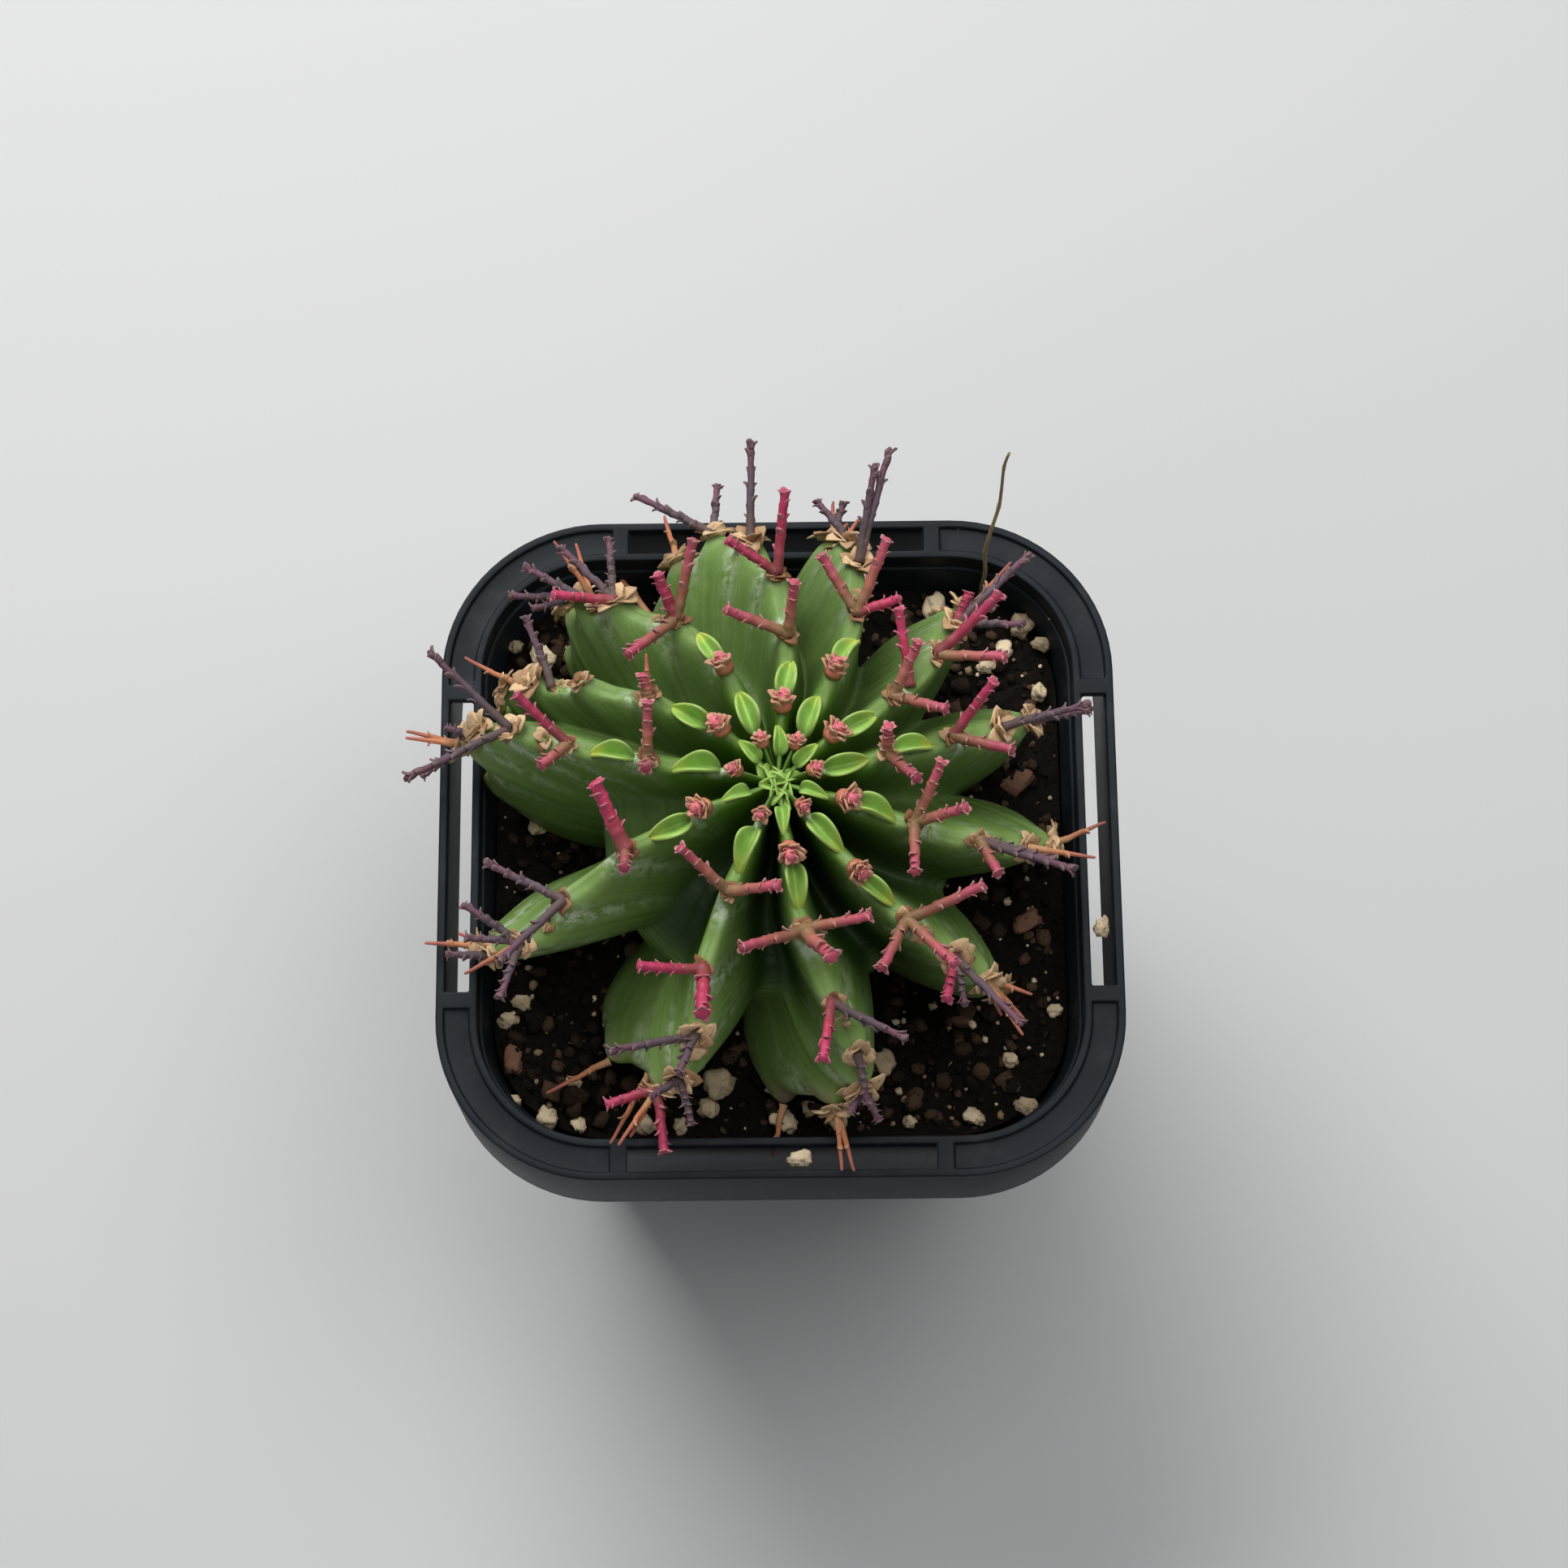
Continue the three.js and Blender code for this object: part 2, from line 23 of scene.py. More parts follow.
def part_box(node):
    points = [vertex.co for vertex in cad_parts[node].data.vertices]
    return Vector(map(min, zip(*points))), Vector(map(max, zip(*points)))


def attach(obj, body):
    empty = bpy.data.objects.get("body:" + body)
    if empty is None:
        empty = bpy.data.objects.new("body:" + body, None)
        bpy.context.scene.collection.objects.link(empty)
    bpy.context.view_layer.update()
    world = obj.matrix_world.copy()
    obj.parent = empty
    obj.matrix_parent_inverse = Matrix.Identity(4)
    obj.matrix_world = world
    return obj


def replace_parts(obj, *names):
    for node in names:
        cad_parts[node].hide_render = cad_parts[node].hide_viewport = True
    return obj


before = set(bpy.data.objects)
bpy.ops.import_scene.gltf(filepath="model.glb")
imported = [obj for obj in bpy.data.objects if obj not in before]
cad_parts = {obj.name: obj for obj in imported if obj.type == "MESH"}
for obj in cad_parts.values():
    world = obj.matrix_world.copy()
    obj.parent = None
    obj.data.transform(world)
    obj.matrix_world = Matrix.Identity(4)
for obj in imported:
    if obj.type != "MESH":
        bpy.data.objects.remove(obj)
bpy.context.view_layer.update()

MM = 0.001
BODY = "root"
SOIL_MOUND = 0.8  # how far the soil's middle stands above its edge, in millimetres
log = logging.getLogger("euphorbia")

Colour = tuple[float, float, float]


# ---- The bench: the moves that every piece is made with ----


class Bench:
    """Selection, edit mode and finishing moves."""

    @staticmethod
    def clear() -> None:
        """Leaves edit mode and deselects everything."""
        if bpy.context.object and bpy.context.object.mode != "OBJECT":
            bpy.ops.object.mode_set(mode="OBJECT")
        bpy.ops.object.select_all(action="DESELECT")

    @staticmethod
    def take(piece: Object) -> None:
        """Makes one piece the only one selected, and active.

        Args:
            piece: The piece to work on.
        """
        Bench.clear()
        piece.select_set(True)
        bpy.context.view_layer.objects.active = piece

    @staticmethod
    def edit(piece: Object) -> None:
        """Opens a piece in edit mode with face selection.

        Args:
            piece: The piece to edit.
        """
        Bench.take(piece)
        bpy.ops.object.mode_set(mode="EDIT")
        bpy.ops.mesh.select_mode(type="FACE")

    @staticmethod
    def choose(kind: str, test: Callable[[object], bool]) -> None:
        """Selects the faces or the edges of the edited mesh that pass a test.

        Args:
            kind: FACE or EDGE.
            test: Says whether a face or an edge is wanted.
        """
        bpy.ops.mesh.select_mode(type=kind)
        bpy.ops.mesh.select_all(action="DESELECT")
        mesh = bpy.context.edit_object.data
        edited = bmesh.from_edit_mesh(mesh)
        parts = edited.faces if kind == "FACE" else edited.edges
        for part in filter(test, parts):
            part.select_set(True)
        bmesh.update_edit_mesh(mesh)

    @staticmethod
    def push(rise: float, swell: float = 1.0) -> None:
        """Extrudes the selected faces along Z, then scales them about the Z axis.

        Args:
            rise: How far along Z, in the mesh's units.
            swell: The scale in X and Y.
        """
        bpy.ops.mesh.extrude_region_move(TRANSFORM_OT_translate={"value": (0, 0, rise)})
        bpy.ops.transform.resize(value=(swell, swell, 1), center_override=(0, 0, 0))

    @staticmethod
    def outward() -> None:
        """Turns all faces of the edited mesh outwards and leaves edit mode."""
        bpy.ops.mesh.select_all(action="SELECT")
        bpy.ops.mesh.normals_make_consistent(inside=False)
        bpy.ops.object.mode_set(mode="OBJECT")

    @staticmethod
    def apply(piece: Object, kind: str, **settings: object) -> None:
        """Adds a modifier with settings and applies it.

        Args:
            piece: The piece to modify.
            kind: The modifier's type.
            **settings: The modifier's values.
        """
        Bench.take(piece)
        modifier = piece.modifiers.new(kind.title(), kind)
        for name, value in settings.items():
            setattr(modifier, name, value)
        bpy.ops.object.modifier_apply(modifier=modifier.name)

    @staticmethod
    def dress(piece: Object, name: str, slot: str, finishes: Sequence[Material]) -> None:
        """Names a finished piece, gives it its finishes and rides it on the body.

        Args:
            piece: The finished piece, in place.
            name: Its name.
            slot: The name of its material slot; not used.
            finishes: Its materials in slot order.
        """
        Bench.take(piece)
        bpy.ops.object.transform_apply(location=True, rotation=True, scale=True)
        piece.name = piece.data.name = name
        for finish in finishes:
            piece.data.materials.append(finish)
        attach(piece, BODY)
        log.info("%s: %d faces", name, len(piece.data.polygons))


@dataclass
class Pattern:
    """One modelled shape kept as plain arrays, ready to be copied many times."""

    points: np.ndarray
    faces: list[tuple[int, ...]]
    marks: dict[str, np.ndarray] = field(default_factory=dict)

    @classmethod
    def of(cls, piece: Object, unit: float = MM) -> Pattern:
        """Reads a modelled piece and takes it off the bench.

        Args:
            piece: The piece that was modelled.
            unit: Metres for each unit it was modelled in.

        Returns:
            The pattern.
        """
        Bench.clear()
        mesh = piece.data
        points = np.array([piece.matrix_world @ v.co for v in mesh.vertices]) * unit
        faces = [tuple(f.vertices) for f in mesh.polygons]
        bpy.data.objects.remove(piece)
        bpy.data.meshes.remove(mesh)
        return cls(points, faces)

    def mark(self, name: str, values: np.ndarray | float) -> Pattern:
        """Notes a value for each point.

        Args:
            name: The mark's name.
            values: One value for each point, or one for all.

        Returns:
            The same pattern.
        """
        self.marks[name] = np.broadcast_to(np.asarray(values, float), len(self.points)).copy()
        return self

    def moved(self, place: Matrix) -> Pattern:
        """A copy of the pattern moved by a matrix.

        Args:
            place: Where the copy goes.

        Returns:
            The moved copy.
        """
        turn = np.array(place)
        points = self.points @ turn[:3, :3].T + turn[:3, 3]
        return Pattern(points, self.faces, dict(self.marks))


class Swarm:
    """Many copies of patterns gathered into one piece."""

    def __init__(self, marks: Sequence[str]) -> None:
        """Starts an empty swarm.

        Args:
            marks: The marks that every point carries into the finished mesh.
        """
        self.points: list[np.ndarray] = []
        self.faces: list[tuple[int, ...]] = []
        self.finish: list[int] = []
        self.marks: dict[str, list[np.ndarray]] = {name: [] for name in marks}
        self.count = 0

    def add(self, pattern: Pattern, place: Matrix, finish: int = 0, **marks: float) -> None:
        """Adds a copy of a pattern.

        Args:
            pattern: What to copy.
            place: Where it goes.
            finish: The copy's material slot.
            **marks: Values for marks that the pattern doesn't carry.
        """
        copy = pattern.moved(place)
        flip = place.determinant() < 0
        for face in copy.faces:
            ring = tuple(i + self.count for i in face)
            self.faces.append(ring[::-1] if flip else ring)
        self.finish.extend([finish] * len(copy.faces))
        for name, kept in self.marks.items():
            kept.append(copy.marks.get(name, np.full(len(copy.points), marks.get(name, 0.0))))
        self.points.append(copy.points)
        self.count += len(copy.points)

    def pattern(self) -> Pattern:
        """The gathered copies as one pattern."""
        marks = {name: np.concatenate(values) for name, values in self.marks.items()}
        return Pattern(np.concatenate(self.points), self.faces, marks)

    def build(self, name: str) -> Object:
        """Makes the gathered copies one mesh.

        Args:
            name: The piece's name.

        Returns:
            The new piece, smooth shaded.
        """
        mesh = bpy.data.meshes.new(name)
        mesh.from_pydata(np.concatenate(self.points).tolist(), [], self.faces)
        mesh.polygons.foreach_set("material_index", self.finish)
        mesh.polygons.foreach_set("use_smooth", [True] * len(self.faces))
        for mark, values in self.marks.items():
            attribute = mesh.attributes.new(mark, "FLOAT", "POINT")
            attribute.data.foreach_set("value", np.concatenate(values).astype(np.float32))
        mesh.update()
        piece = bpy.data.objects.new(name, mesh)
        bpy.context.scene.collection.objects.link(piece)
        return piece


@dataclass(frozen=True)
class Ring:
    """One ring of a grown shape: its centre and its half widths along X and Y."""

    x: float
    y: float
    z: float
    wide: float
    deep: float


def grow(sides: int, rings: Sequence[Ring]) -> Object:
    """Draws a closed shape up from a filled circle, ring by ring.

    Args:
        sides: How many sides the circle has.
        rings: The rings, the first at the foot.

    Returns:
        The grown piece.
    """
    foot = rings[0]
    Bench.clear()
    bpy.ops.mesh.primitive_circle_add(
        vertices=sides, radius=1, fill_type="NGON", location=(foot.x, foot.y, foot.z)
    )
    piece = bpy.context.object
    bpy.ops.object.transform_apply(location=True, rotation=True, scale=True)
    bpy.ops.object.mode_set(mode="EDIT")
    bpy.ops.mesh.select_all(action="SELECT")
    bpy.ops.transform.resize(
        value=(foot.wide, foot.deep, 1), center_override=(foot.x, foot.y, foot.z)
    )
    for last, here in pairwise(rings):
        step = (here.x - last.x, here.y - last.y, here.z - last.z)
        bpy.ops.mesh.extrude_region_move(TRANSFORM_OT_translate={"value": step})
        bpy.ops.transform.resize(
            value=(here.wide / last.wide, here.deep / last.deep, 1),
            center_override=(here.x, here.y, here.z),
        )
    Bench.outward()
    return piece


# ---- Shader work ----


class Shader:
    """Builds one node tree with short calls."""

    def __init__(self, tree: NodeTree) -> None:
        """Takes the tree to build in.

        Args:
            tree: A material's or a group's node tree.
        """
        self.tree = tree

    def node(self, kind: str, inputs: dict[str | int, object] | None = None, **settings: object):
        """Adds a node.

        Args:
            kind: The node's type without its ShaderNode prefix.
            inputs: Sockets to link or values to set, by input name or number.
            **settings: The node's own settings.

        Returns:
            The node.
        """
        made = self.tree.nodes.new("ShaderNode" + kind)
        for name, value in settings.items():
            setattr(made, name, value)
        for key, value in (inputs or {}).items():
            socket = made.inputs[key]
            if isinstance(value, NodeSocket):
                self.tree.links.new(value, socket)
            elif isinstance(value, tuple) and socket.type == "RGBA":
                socket.default_value = (*value, 1)
            else:
                socket.default_value = value
        return made

    def attribute(self, name: str) -> NodeSocket:
        """The value of a mesh mark.

        Args:
            name: The mark's name.

        Returns:
            The value socket.
        """
        return self.node("Attribute", attribute_name=name).outputs["Fac"]

    def math(self, kind: str, a: object, b: object) -> NodeSocket:
        """A math node's result.

        Args:
            kind: The operation.
            a: First value or socket.
            b: Second value or socket.

        Returns:
            The result socket.
        """
        return self.node("Math", {0: a, 1: b}, operation=kind).outputs[0]

    def blend(self, share: object, a: object, b: object, kind: str = "MIX") -> NodeSocket:
        """Mixes two colours.

        Args:
            share: How much of the second.
            a: First colour or socket.
            b: Second colour or socket.
            kind: The blend type.

        Returns:
            The colour socket.
        """
        inputs = {0: share, 6: a, 7: b}
        return self.node("Mix", inputs, data_type="RGBA", blend_type=kind).outputs[2]

    def ramp(self, value: object, start: float, end: float) -> NodeSocket:
        """A smooth step from 0 at start to 1 at end.

        Args:
            value: The value to map.
            start: Where the result is 0.
            end: Where the result is 1.

        Returns:
            The mapped socket.
        """
        inputs = {"Value": value, "From Min": start, "From Max": end}
        return self.node("MapRange", inputs, interpolation_type="SMOOTHSTEP").outputs[0]

    def speckle(self, scale: float, detail: float = 3.0, rough: float = 0.55) -> NodeSocket:
        """Noise on object coordinates.

        Args:
            scale: Features for each metre.
            detail: Octaves.
            rough: Strength of the small octaves.

        Returns:
            The noise value.
        """
        place = self.node("TexCoord").outputs["Object"]
        inputs = {"Vector": place, "Scale": scale, "Detail": detail, "Roughness": rough}
        return self.node("TexNoise", inputs).outputs[0]


class Groups:
    """Effects that more than one finish uses, each built once."""

    @staticmethod
    def start(name: str, inputs: Sequence[tuple[str, float]]) -> tuple[Shader, object, object]:
        """Opens a new group with named inputs and the outputs Mask and Height.

        Args:
            name: The group's name.
            inputs: Name and default value of each input.

        Returns:
            The shader, the group's input node and its output node.
        """
        tree = bpy.data.node_groups.new(name, "ShaderNodeTree")
        for label, value in inputs:
            socket = tree.interface.new_socket(label, in_out="INPUT", socket_type="NodeSocketFloat")
            socket.default_value = value
        for label in ("Mask", "Height"):
            tree.interface.new_socket(label, in_out="OUTPUT", socket_type="NodeSocketFloat")
        return Shader(tree), tree.nodes.new("NodeGroupInput"), tree.nodes.new("NodeGroupOutput")

    @staticmethod
    def grain() -> NodeTree:
        """Fine unevenness: a soft mask and a height.

        Returns:
            The group.
        """
        found = bpy.data.node_groups.get("fine_grain")
        if found:
            return found
        make, source, sink = Groups.start("fine_grain", [("Coarse", 400.0), ("Fine", 2500.0)])
        place = make.node("TexCoord").outputs["Object"]
        wide, close = (
            make.node("TexNoise", {"Vector": place, "Scale": scale, "Detail": detail}).outputs[0]
            for scale, detail in ((source.outputs["Coarse"], 4.0), (source.outputs["Fine"], 3.0))
        )
        make.tree.links.new(wide, sink.inputs["Mask"])
        height = make.math("ADD", wide, make.math("MULTIPLY", close, 0.5))
        make.tree.links.new(height, sink.inputs["Height"])
        return make.tree

    @staticmethod
    def dust() -> NodeTree:
        """Scattered specks of dust and grit: a mask of specks and their height.

        Returns:
            The group.
        """
        found = bpy.data.node_groups.get("dust_specks")
        if found:
            return found
        make, source, sink = Groups.start("dust_specks", [("Density", 700.0), ("Size", 0.12)])
        place = make.node("TexCoord").outputs["Object"]
        cells = make.node("TexVoronoi", {"Vector": place, "Scale": source.outputs["Density"]})
        patch = make.node("TexNoise", {"Vector": place, "Scale": 90.0, "Detail": 2.0}).outputs[0]
        reach = make.math("MULTIPLY", source.outputs["Size"], make.ramp(patch, 0.45, 0.75))
        speck = make.math("LESS_THAN", cells.outputs["Distance"], reach)
        make.tree.links.new(speck, sink.inputs["Mask"])
        make.tree.links.new(speck, sink.inputs["Height"])
        return make.tree


@dataclass(frozen=True)
class Finish:
    """What every finish has: a name, a roughness, how deep its grain is and how it shines."""

    name: str
    roughness: float = 0.5
    relief: float = 0.2
    relief_depth: float = 0.0002
    specular: float = 0.3

    def open(self) -> tuple[Material, Shader, object]:
        """Starts the material.

        Returns:
            The material, its shader and its Principled node.
        """
        material = bpy.data.materials.new(self.name)
        material.use_nodes = True
        make = Shader(material.node_tree)
        skin = material.node_tree.nodes["Principled BSDF"]
        skin.inputs["Roughness"].default_value = self.roughness
        skin.inputs["Specular IOR Level"].default_value = self.specular
        return material, make, skin

    def grain(self, make: Shader, coarse: float, fine: float) -> tuple[NodeSocket, NodeSocket]:
        """Places the grain group.

        Args:
            make: The material's shader.
            coarse: Scale of the wide noise.
            fine: Scale of the close noise.

        Returns:
            The mask and the height.
        """
        group = make.node("Group", {"Coarse": coarse, "Fine": fine}, node_tree=Groups.grain())
        return group.outputs["Mask"], group.outputs["Height"]

    def bump(self, make: Shader, skin: object, height: NodeSocket) -> None:
        """Feeds a height to the skin's normal.

        Args:
            make: The material's shader.
            skin: The Principled node.
            height: The height socket.
        """
        inputs = {"Height": height, "Strength": self.relief, "Distance": self.relief_depth}
        normal = make.node("Bump", inputs).outputs[0]
        make.tree.links.new(normal, skin.inputs["Normal"])


@dataclass(frozen=True)
class PotPlastic(Finish):
    """Satin black moulded plastic with fine grit on it."""

    body: Colour = (0.0082, 0.0112, 0.0148)
    pale: Colour = (0.0155, 0.0205, 0.026)
    dust: Colour = (0.3, 0.27, 0.23)

    def material(self) -> Material:
        """Builds the material.

        Returns:
            The material.
        """
        material, make, skin = self.open()
        mask, height = self.grain(make, 60.0, 3000.0)
        group = make.node("Group", {"Density": 420.0, "Size": 0.1}, node_tree=Groups.dust())
        film = make.ramp(make.speckle(140.0, 5.0, 0.7), 0.5, 0.8)
        base = make.blend(make.ramp(mask, 0.35, 0.7), self.body, self.pale)
        base = make.blend(make.math("MULTIPLY", film, 0.05), base, self.dust)
        base = make.blend(make.math("MULTIPLY", group.outputs["Mask"], 0.7), base, self.dust)
        make.tree.links.new(base, skin.inputs["Base Color"])
        rough = make.math("ADD", make.math("MULTIPLY", mask, 0.16), self.roughness - 0.08)
        make.tree.links.new(rough, skin.inputs["Roughness"])
        self.bump(make, skin, height)
        return material


@dataclass(frozen=True)
class StemSkin(Finish):
    """Waxy green skin: pale bloom on the crests, cross-banded flanks, furrows painted near black:
    painted shade, strongest on the front ribs, with a little of the skin's own darker green.
    """

    flank: Colour = (0.098, 0.178, 0.034)
    band: Colour = (0.165, 0.26, 0.075)
    crest: Colour = (0.185, 0.3, 0.075)
    bloom: Colour = (0.6, 0.7, 0.52)
    # Near-black furrow colour: painted shade, partly the skin's own darker green.
    furrow: Colour = (0.012, 0.034, 0.004)
    apex: Colour = (0.075, 0.19, 0.008)
    cork: Colour = (0.24, 0.18, 0.11)

    def material(self) -> Material:
        """Builds the material.

        Returns:
            The material.
        """
        material, make, skin = self.open()
        level, share, knob = (make.attribute(name) for name in ("level", "share", "knob"))
        mask, height = self.grain(make, 220.0, 2600.0)
        lane = make.math("ADD", make.math("MULTIPLY", level, 46.0), make.attribute("lane"))
        lane = make.math("ADD", lane, make.math("MULTIPLY", mask, 1.3))
        inputs = {"W": lane, "Scale": 1.0, "Detail": 3.0, "Roughness": 0.6}
        bands = make.node("TexNoise", inputs, noise_dimensions="1D").outputs[0]
        banding = make.math("MULTIPLY", make.ramp(bands, 0.34, 0.7), 0.55)
        base = make.blend(banding, self.flank, self.band)
        base = make.blend(make.math("MULTIPLY", make.ramp(mask, 0.4, 0.75), 0.35), base, self.crest)
        base = make.blend(make.ramp(level, 0.3, 0.06), base, self.apex)
        base = make.blend(make.math("MULTIPLY", make.ramp(share, 0.34, 0.08), 0.75), base, self.crest)
        # Painted shade: the furrow colour grows towards each furrow's bottom on the upper and middle
        # stem, fades out towards the soil, and is strongest on the front ribs through the deep mark.
        depth = make.math("MULTIPLY", make.ramp(share, 0.2, 0.68), make.ramp(level, 0.85, 0.5))
        depth = make.math("MULTIPLY", depth, make.attribute("deep"))
        base = make.blend(depth, base, self.furrow)
        flecks = make.ramp(make.speckle(620.0, 5.0, 0.7), 0.38, 0.6)
        base = make.blend(make.math("MULTIPLY", knob, flecks), base, self.bloom)
        worn = make.math("MULTIPLY", make.ramp(level, 0.66, 0.86), make.ramp(share, 0.3, 0.05))
        worn = make.math("MULTIPLY", worn, make.ramp(make.speckle(380.0, 5.0), 0.42, 0.62))
        base = make.blend(worn, base, self.cork)
        make.tree.links.new(base, skin.inputs["Base Color"])
        rough = make.math("ADD", make.math("MULTIPLY", mask, 0.2), self.roughness - 0.1)
        make.tree.links.new(rough, skin.inputs["Roughness"])
        self.bump(make, skin, make.math("ADD", height, make.math("MULTIPLY", bands, 0.7)))
        return material


@dataclass(frozen=True)
class LeafSkin(Finish):
    """Fresh leaf: yellow towards the tip, a pale midrib and a thin reddish edge."""

    blade: Colour = (0.22, 0.42, 0.062)
    bright: Colour = (0.34, 0.54, 0.13)
    tip: Colour = (0.6, 0.62, 0.09)
    edge: Colour = (0.48, 0.6, 0.18)
    foot: Colour = (0.22, 0.38, 0.09)

    def material(self) -> Material:
        """Builds the material.

        Returns:
            The material.
        """
        material, make, skin = self.open()
        along, across, tint = (make.attribute(name) for name in ("along", "across", "tint"))
        mask, height = self.grain(make, 700.0, 4200.0)
        base = make.blend(make.ramp(mask, 0.3, 0.7), self.blade, self.bright)
        base = make.blend(make.math("MULTIPLY", tint, 0.6), base, self.bright)
        base = make.blend(make.math("MULTIPLY", make.ramp(across, 0.3, 0.0), 0.25), base, self.bright)
        base = make.blend(make.ramp(along, 0.3, 0.0), base, self.foot)
        base = make.blend(make.math("MULTIPLY", make.ramp(along, 0.5, 1.0), tint), base, self.tip)
        base = make.blend(make.math("MULTIPLY", make.ramp(across, 0.88, 1.0), 0.35), base, self.edge)
        make.tree.links.new(base, skin.inputs["Base Color"])
        self.bump(make, skin, height)
        return material


@dataclass(frozen=True)
class SpineSkin(Finish):
    """A flower stalk's skin, from its foot to its tip, with paler scales."""

    foot: Colour = (0.3, 0.13, 0.07)
    middle: Colour = (0.36, 0.08, 0.09)
    tip: Colour = (0.42, 0.07, 0.11)
    scale: Colour = (0.5, 0.22, 0.2)

    def material(self) -> Material:
        """Builds the material.

        Returns:
            The material.
        """
        material, make, skin = self.open()
        along, scale, tint = (make.attribute(name) for name in ("along", "scale", "tint"))
        mask, height = self.grain(make, 900.0, 5200.0)
        drift = make.math("ADD", along, make.math("MULTIPLY", make.math("SUBTRACT", mask, 0.5), 0.5))
        base = make.blend(make.ramp(drift, 0.08, 0.5), self.foot, self.middle)
        base = make.blend(make.ramp(drift, 0.45, 0.9), base, self.tip)
        shade = make.math("ADD", make.math("MULTIPLY", tint, 0.5), 0.72)
        base = make.blend(1.0, base, self._grey(make, shade), "MULTIPLY")
        base = make.blend(make.math("MULTIPLY", make.ramp(scale, 0.2, 1.0), 0.75), base, self.scale)
        make.tree.links.new(base, skin.inputs["Base Color"])
        self.bump(make, skin, height)
        return material

    @staticmethod
    def _grey(make: Shader, value: NodeSocket) -> NodeSocket:
        """A grey of a value."""
        return make.node("CombineColor", {0: value, 1: value, 2: value}).outputs[0]


@dataclass(frozen=True)
class LumpSkin(Finish):
    """Mineral or woody lumps, each copy with its own shade between two colours."""

    dark: Colour = (0.2, 0.15, 0.1)
    light: Colour = (0.6, 0.5, 0.36)
    pit: Colour = (0.12, 0.08, 0.05)
    pitting: float = 0.5
    coarse: float = 500.0
    fine: float = 2600.0

    def material(self) -> Material:
        """Builds the material.

        Returns:
            The material.
        """
        material, make, skin = self.open()
        mask, height = self.grain(make, self.coarse, self.fine)
        tone = make.math("ADD", make.attribute("tint"), make.math("MULTIPLY", mask, 0.5))
        base = make.blend(make.ramp(tone, 0.1, 1.25), self.dark, self.light)
        pits = make.ramp(make.speckle(self.fine * 0.7, 3.0, 0.6), 0.4, 0.3)
        base = make.blend(make.math("MULTIPLY", pits, self.pitting), base, self.pit)
        make.tree.links.new(base, skin.inputs["Base Color"])
        self.bump(make, skin, make.math("SUBTRACT", height, pits))
        return material


class Finishes:
    """Every finish in the scene, each material made once."""

    def __init__(self) -> None:
        """Makes the materials."""
        self.pot = PotPlastic(
            "pot_plastic", roughness=0.5, relief=0.12, relief_depth=0.0001, specular=0.14
        ).material()
        self.stem = StemSkin(
            "stem_skin", roughness=0.48, relief=0.35, relief_depth=0.00025, specular=0.26
        ).material()
        self.leaf = LeafSkin("leaf_skin", roughness=0.42, relief=0.2, relief_depth=0.00015).material()
        self.spines = [look.material() for look in SPINE_LOOKS.values()]
        self.soil = LumpSkin(
            "soil_mix", 0.92, 0.9, 0.0006, 0.12, dark=(0.003, 0.0022, 0.0016),
            light=(0.015, 0.011, 0.007), pit=(0.001, 0.0007, 0.0005), pitting=0.9,
            coarse=420.0, fine=1700.0,
        ).material()
        self.crumb = LumpSkin(
            "soil_crumb", 0.9, 0.7, 0.0004, 0.15, dark=(0.0035, 0.0024, 0.0017),
            light=(0.075, 0.045, 0.027), pit=(0.004, 0.003, 0.002), pitting=0.6,
        ).material()
        self.pumice = LumpSkin(
            "pumice", 0.85, 0.6, 0.0003, dark=(0.25, 0.175, 0.095), light=(0.82, 0.66, 0.44),
            pit=(0.22, 0.16, 0.1), pitting=0.45, coarse=420.0, fine=2300.0,
        ).material()
        self.bark = LumpSkin(
            "bark", 0.85, 0.8, 0.0004, dark=(0.05, 0.022, 0.015), light=(0.24, 0.12, 0.075),
            pit=(0.015, 0.007, 0.005), pitting=0.6,
        ).material()
        self.bract = LumpSkin(
            "dry_bract", 0.7, 0.4, 0.0002, dark=(0.22, 0.095, 0.04), light=(0.74, 0.52, 0.3),
            pit=(0.16, 0.07, 0.04), pitting=0.35, coarse=900.0, fine=3800.0,
        ).material()
        self.straw = LumpSkin(
            "straw", 0.75, 0.4, 0.0002, dark=(0.17, 0.12, 0.06), light=(0.42, 0.32, 0.17),
            pit=(0.1, 0.07, 0.04), pitting=0.3,
        ).material()


# ---- The flower stalks' ages and looks ----


class Age(Enum):
    """How old a flower stalk is."""

    BUD = 0
    YOUNG = 1
    CRIMSON = 2
    OLD = 3
    DRY = 4


SPINE_LOOKS = {
    Age.BUD: SpineSkin("spine_bud", 0.5, foot=(0.34, 0.15, 0.06), middle=(0.5, 0.15, 0.1),
                       tip=(0.6, 0.14, 0.18), scale=(0.58, 0.33, 0.22)),
    Age.YOUNG: SpineSkin("spine_young", 0.5, foot=(0.23, 0.135, 0.065), middle=(0.33, 0.105, 0.08),
                         tip=(0.43, 0.075, 0.12), scale=(0.52, 0.27, 0.25)),
    Age.CRIMSON: SpineSkin("spine_crimson", 0.45, foot=(0.25, 0.06, 0.065), middle=(0.4, 0.042, 0.085),
                           tip=(0.45, 0.045, 0.115), scale=(0.54, 0.2, 0.24)),
    Age.OLD: SpineSkin("spine_old", 0.7, foot=(0.125, 0.085, 0.08), middle=(0.115, 0.08, 0.1),
                       tip=(0.16, 0.07, 0.1), scale=(0.2, 0.14, 0.14)),
    Age.DRY: SpineSkin("spine_dry", 0.7, foot=(0.5, 0.27, 0.13), middle=(0.48, 0.18, 0.085),
                       tip=(0.38, 0.12, 0.085), scale=(0.55, 0.34, 0.2)),
}
BRACT_FINISH = len(SPINE_LOOKS)


# ---- The pot ----


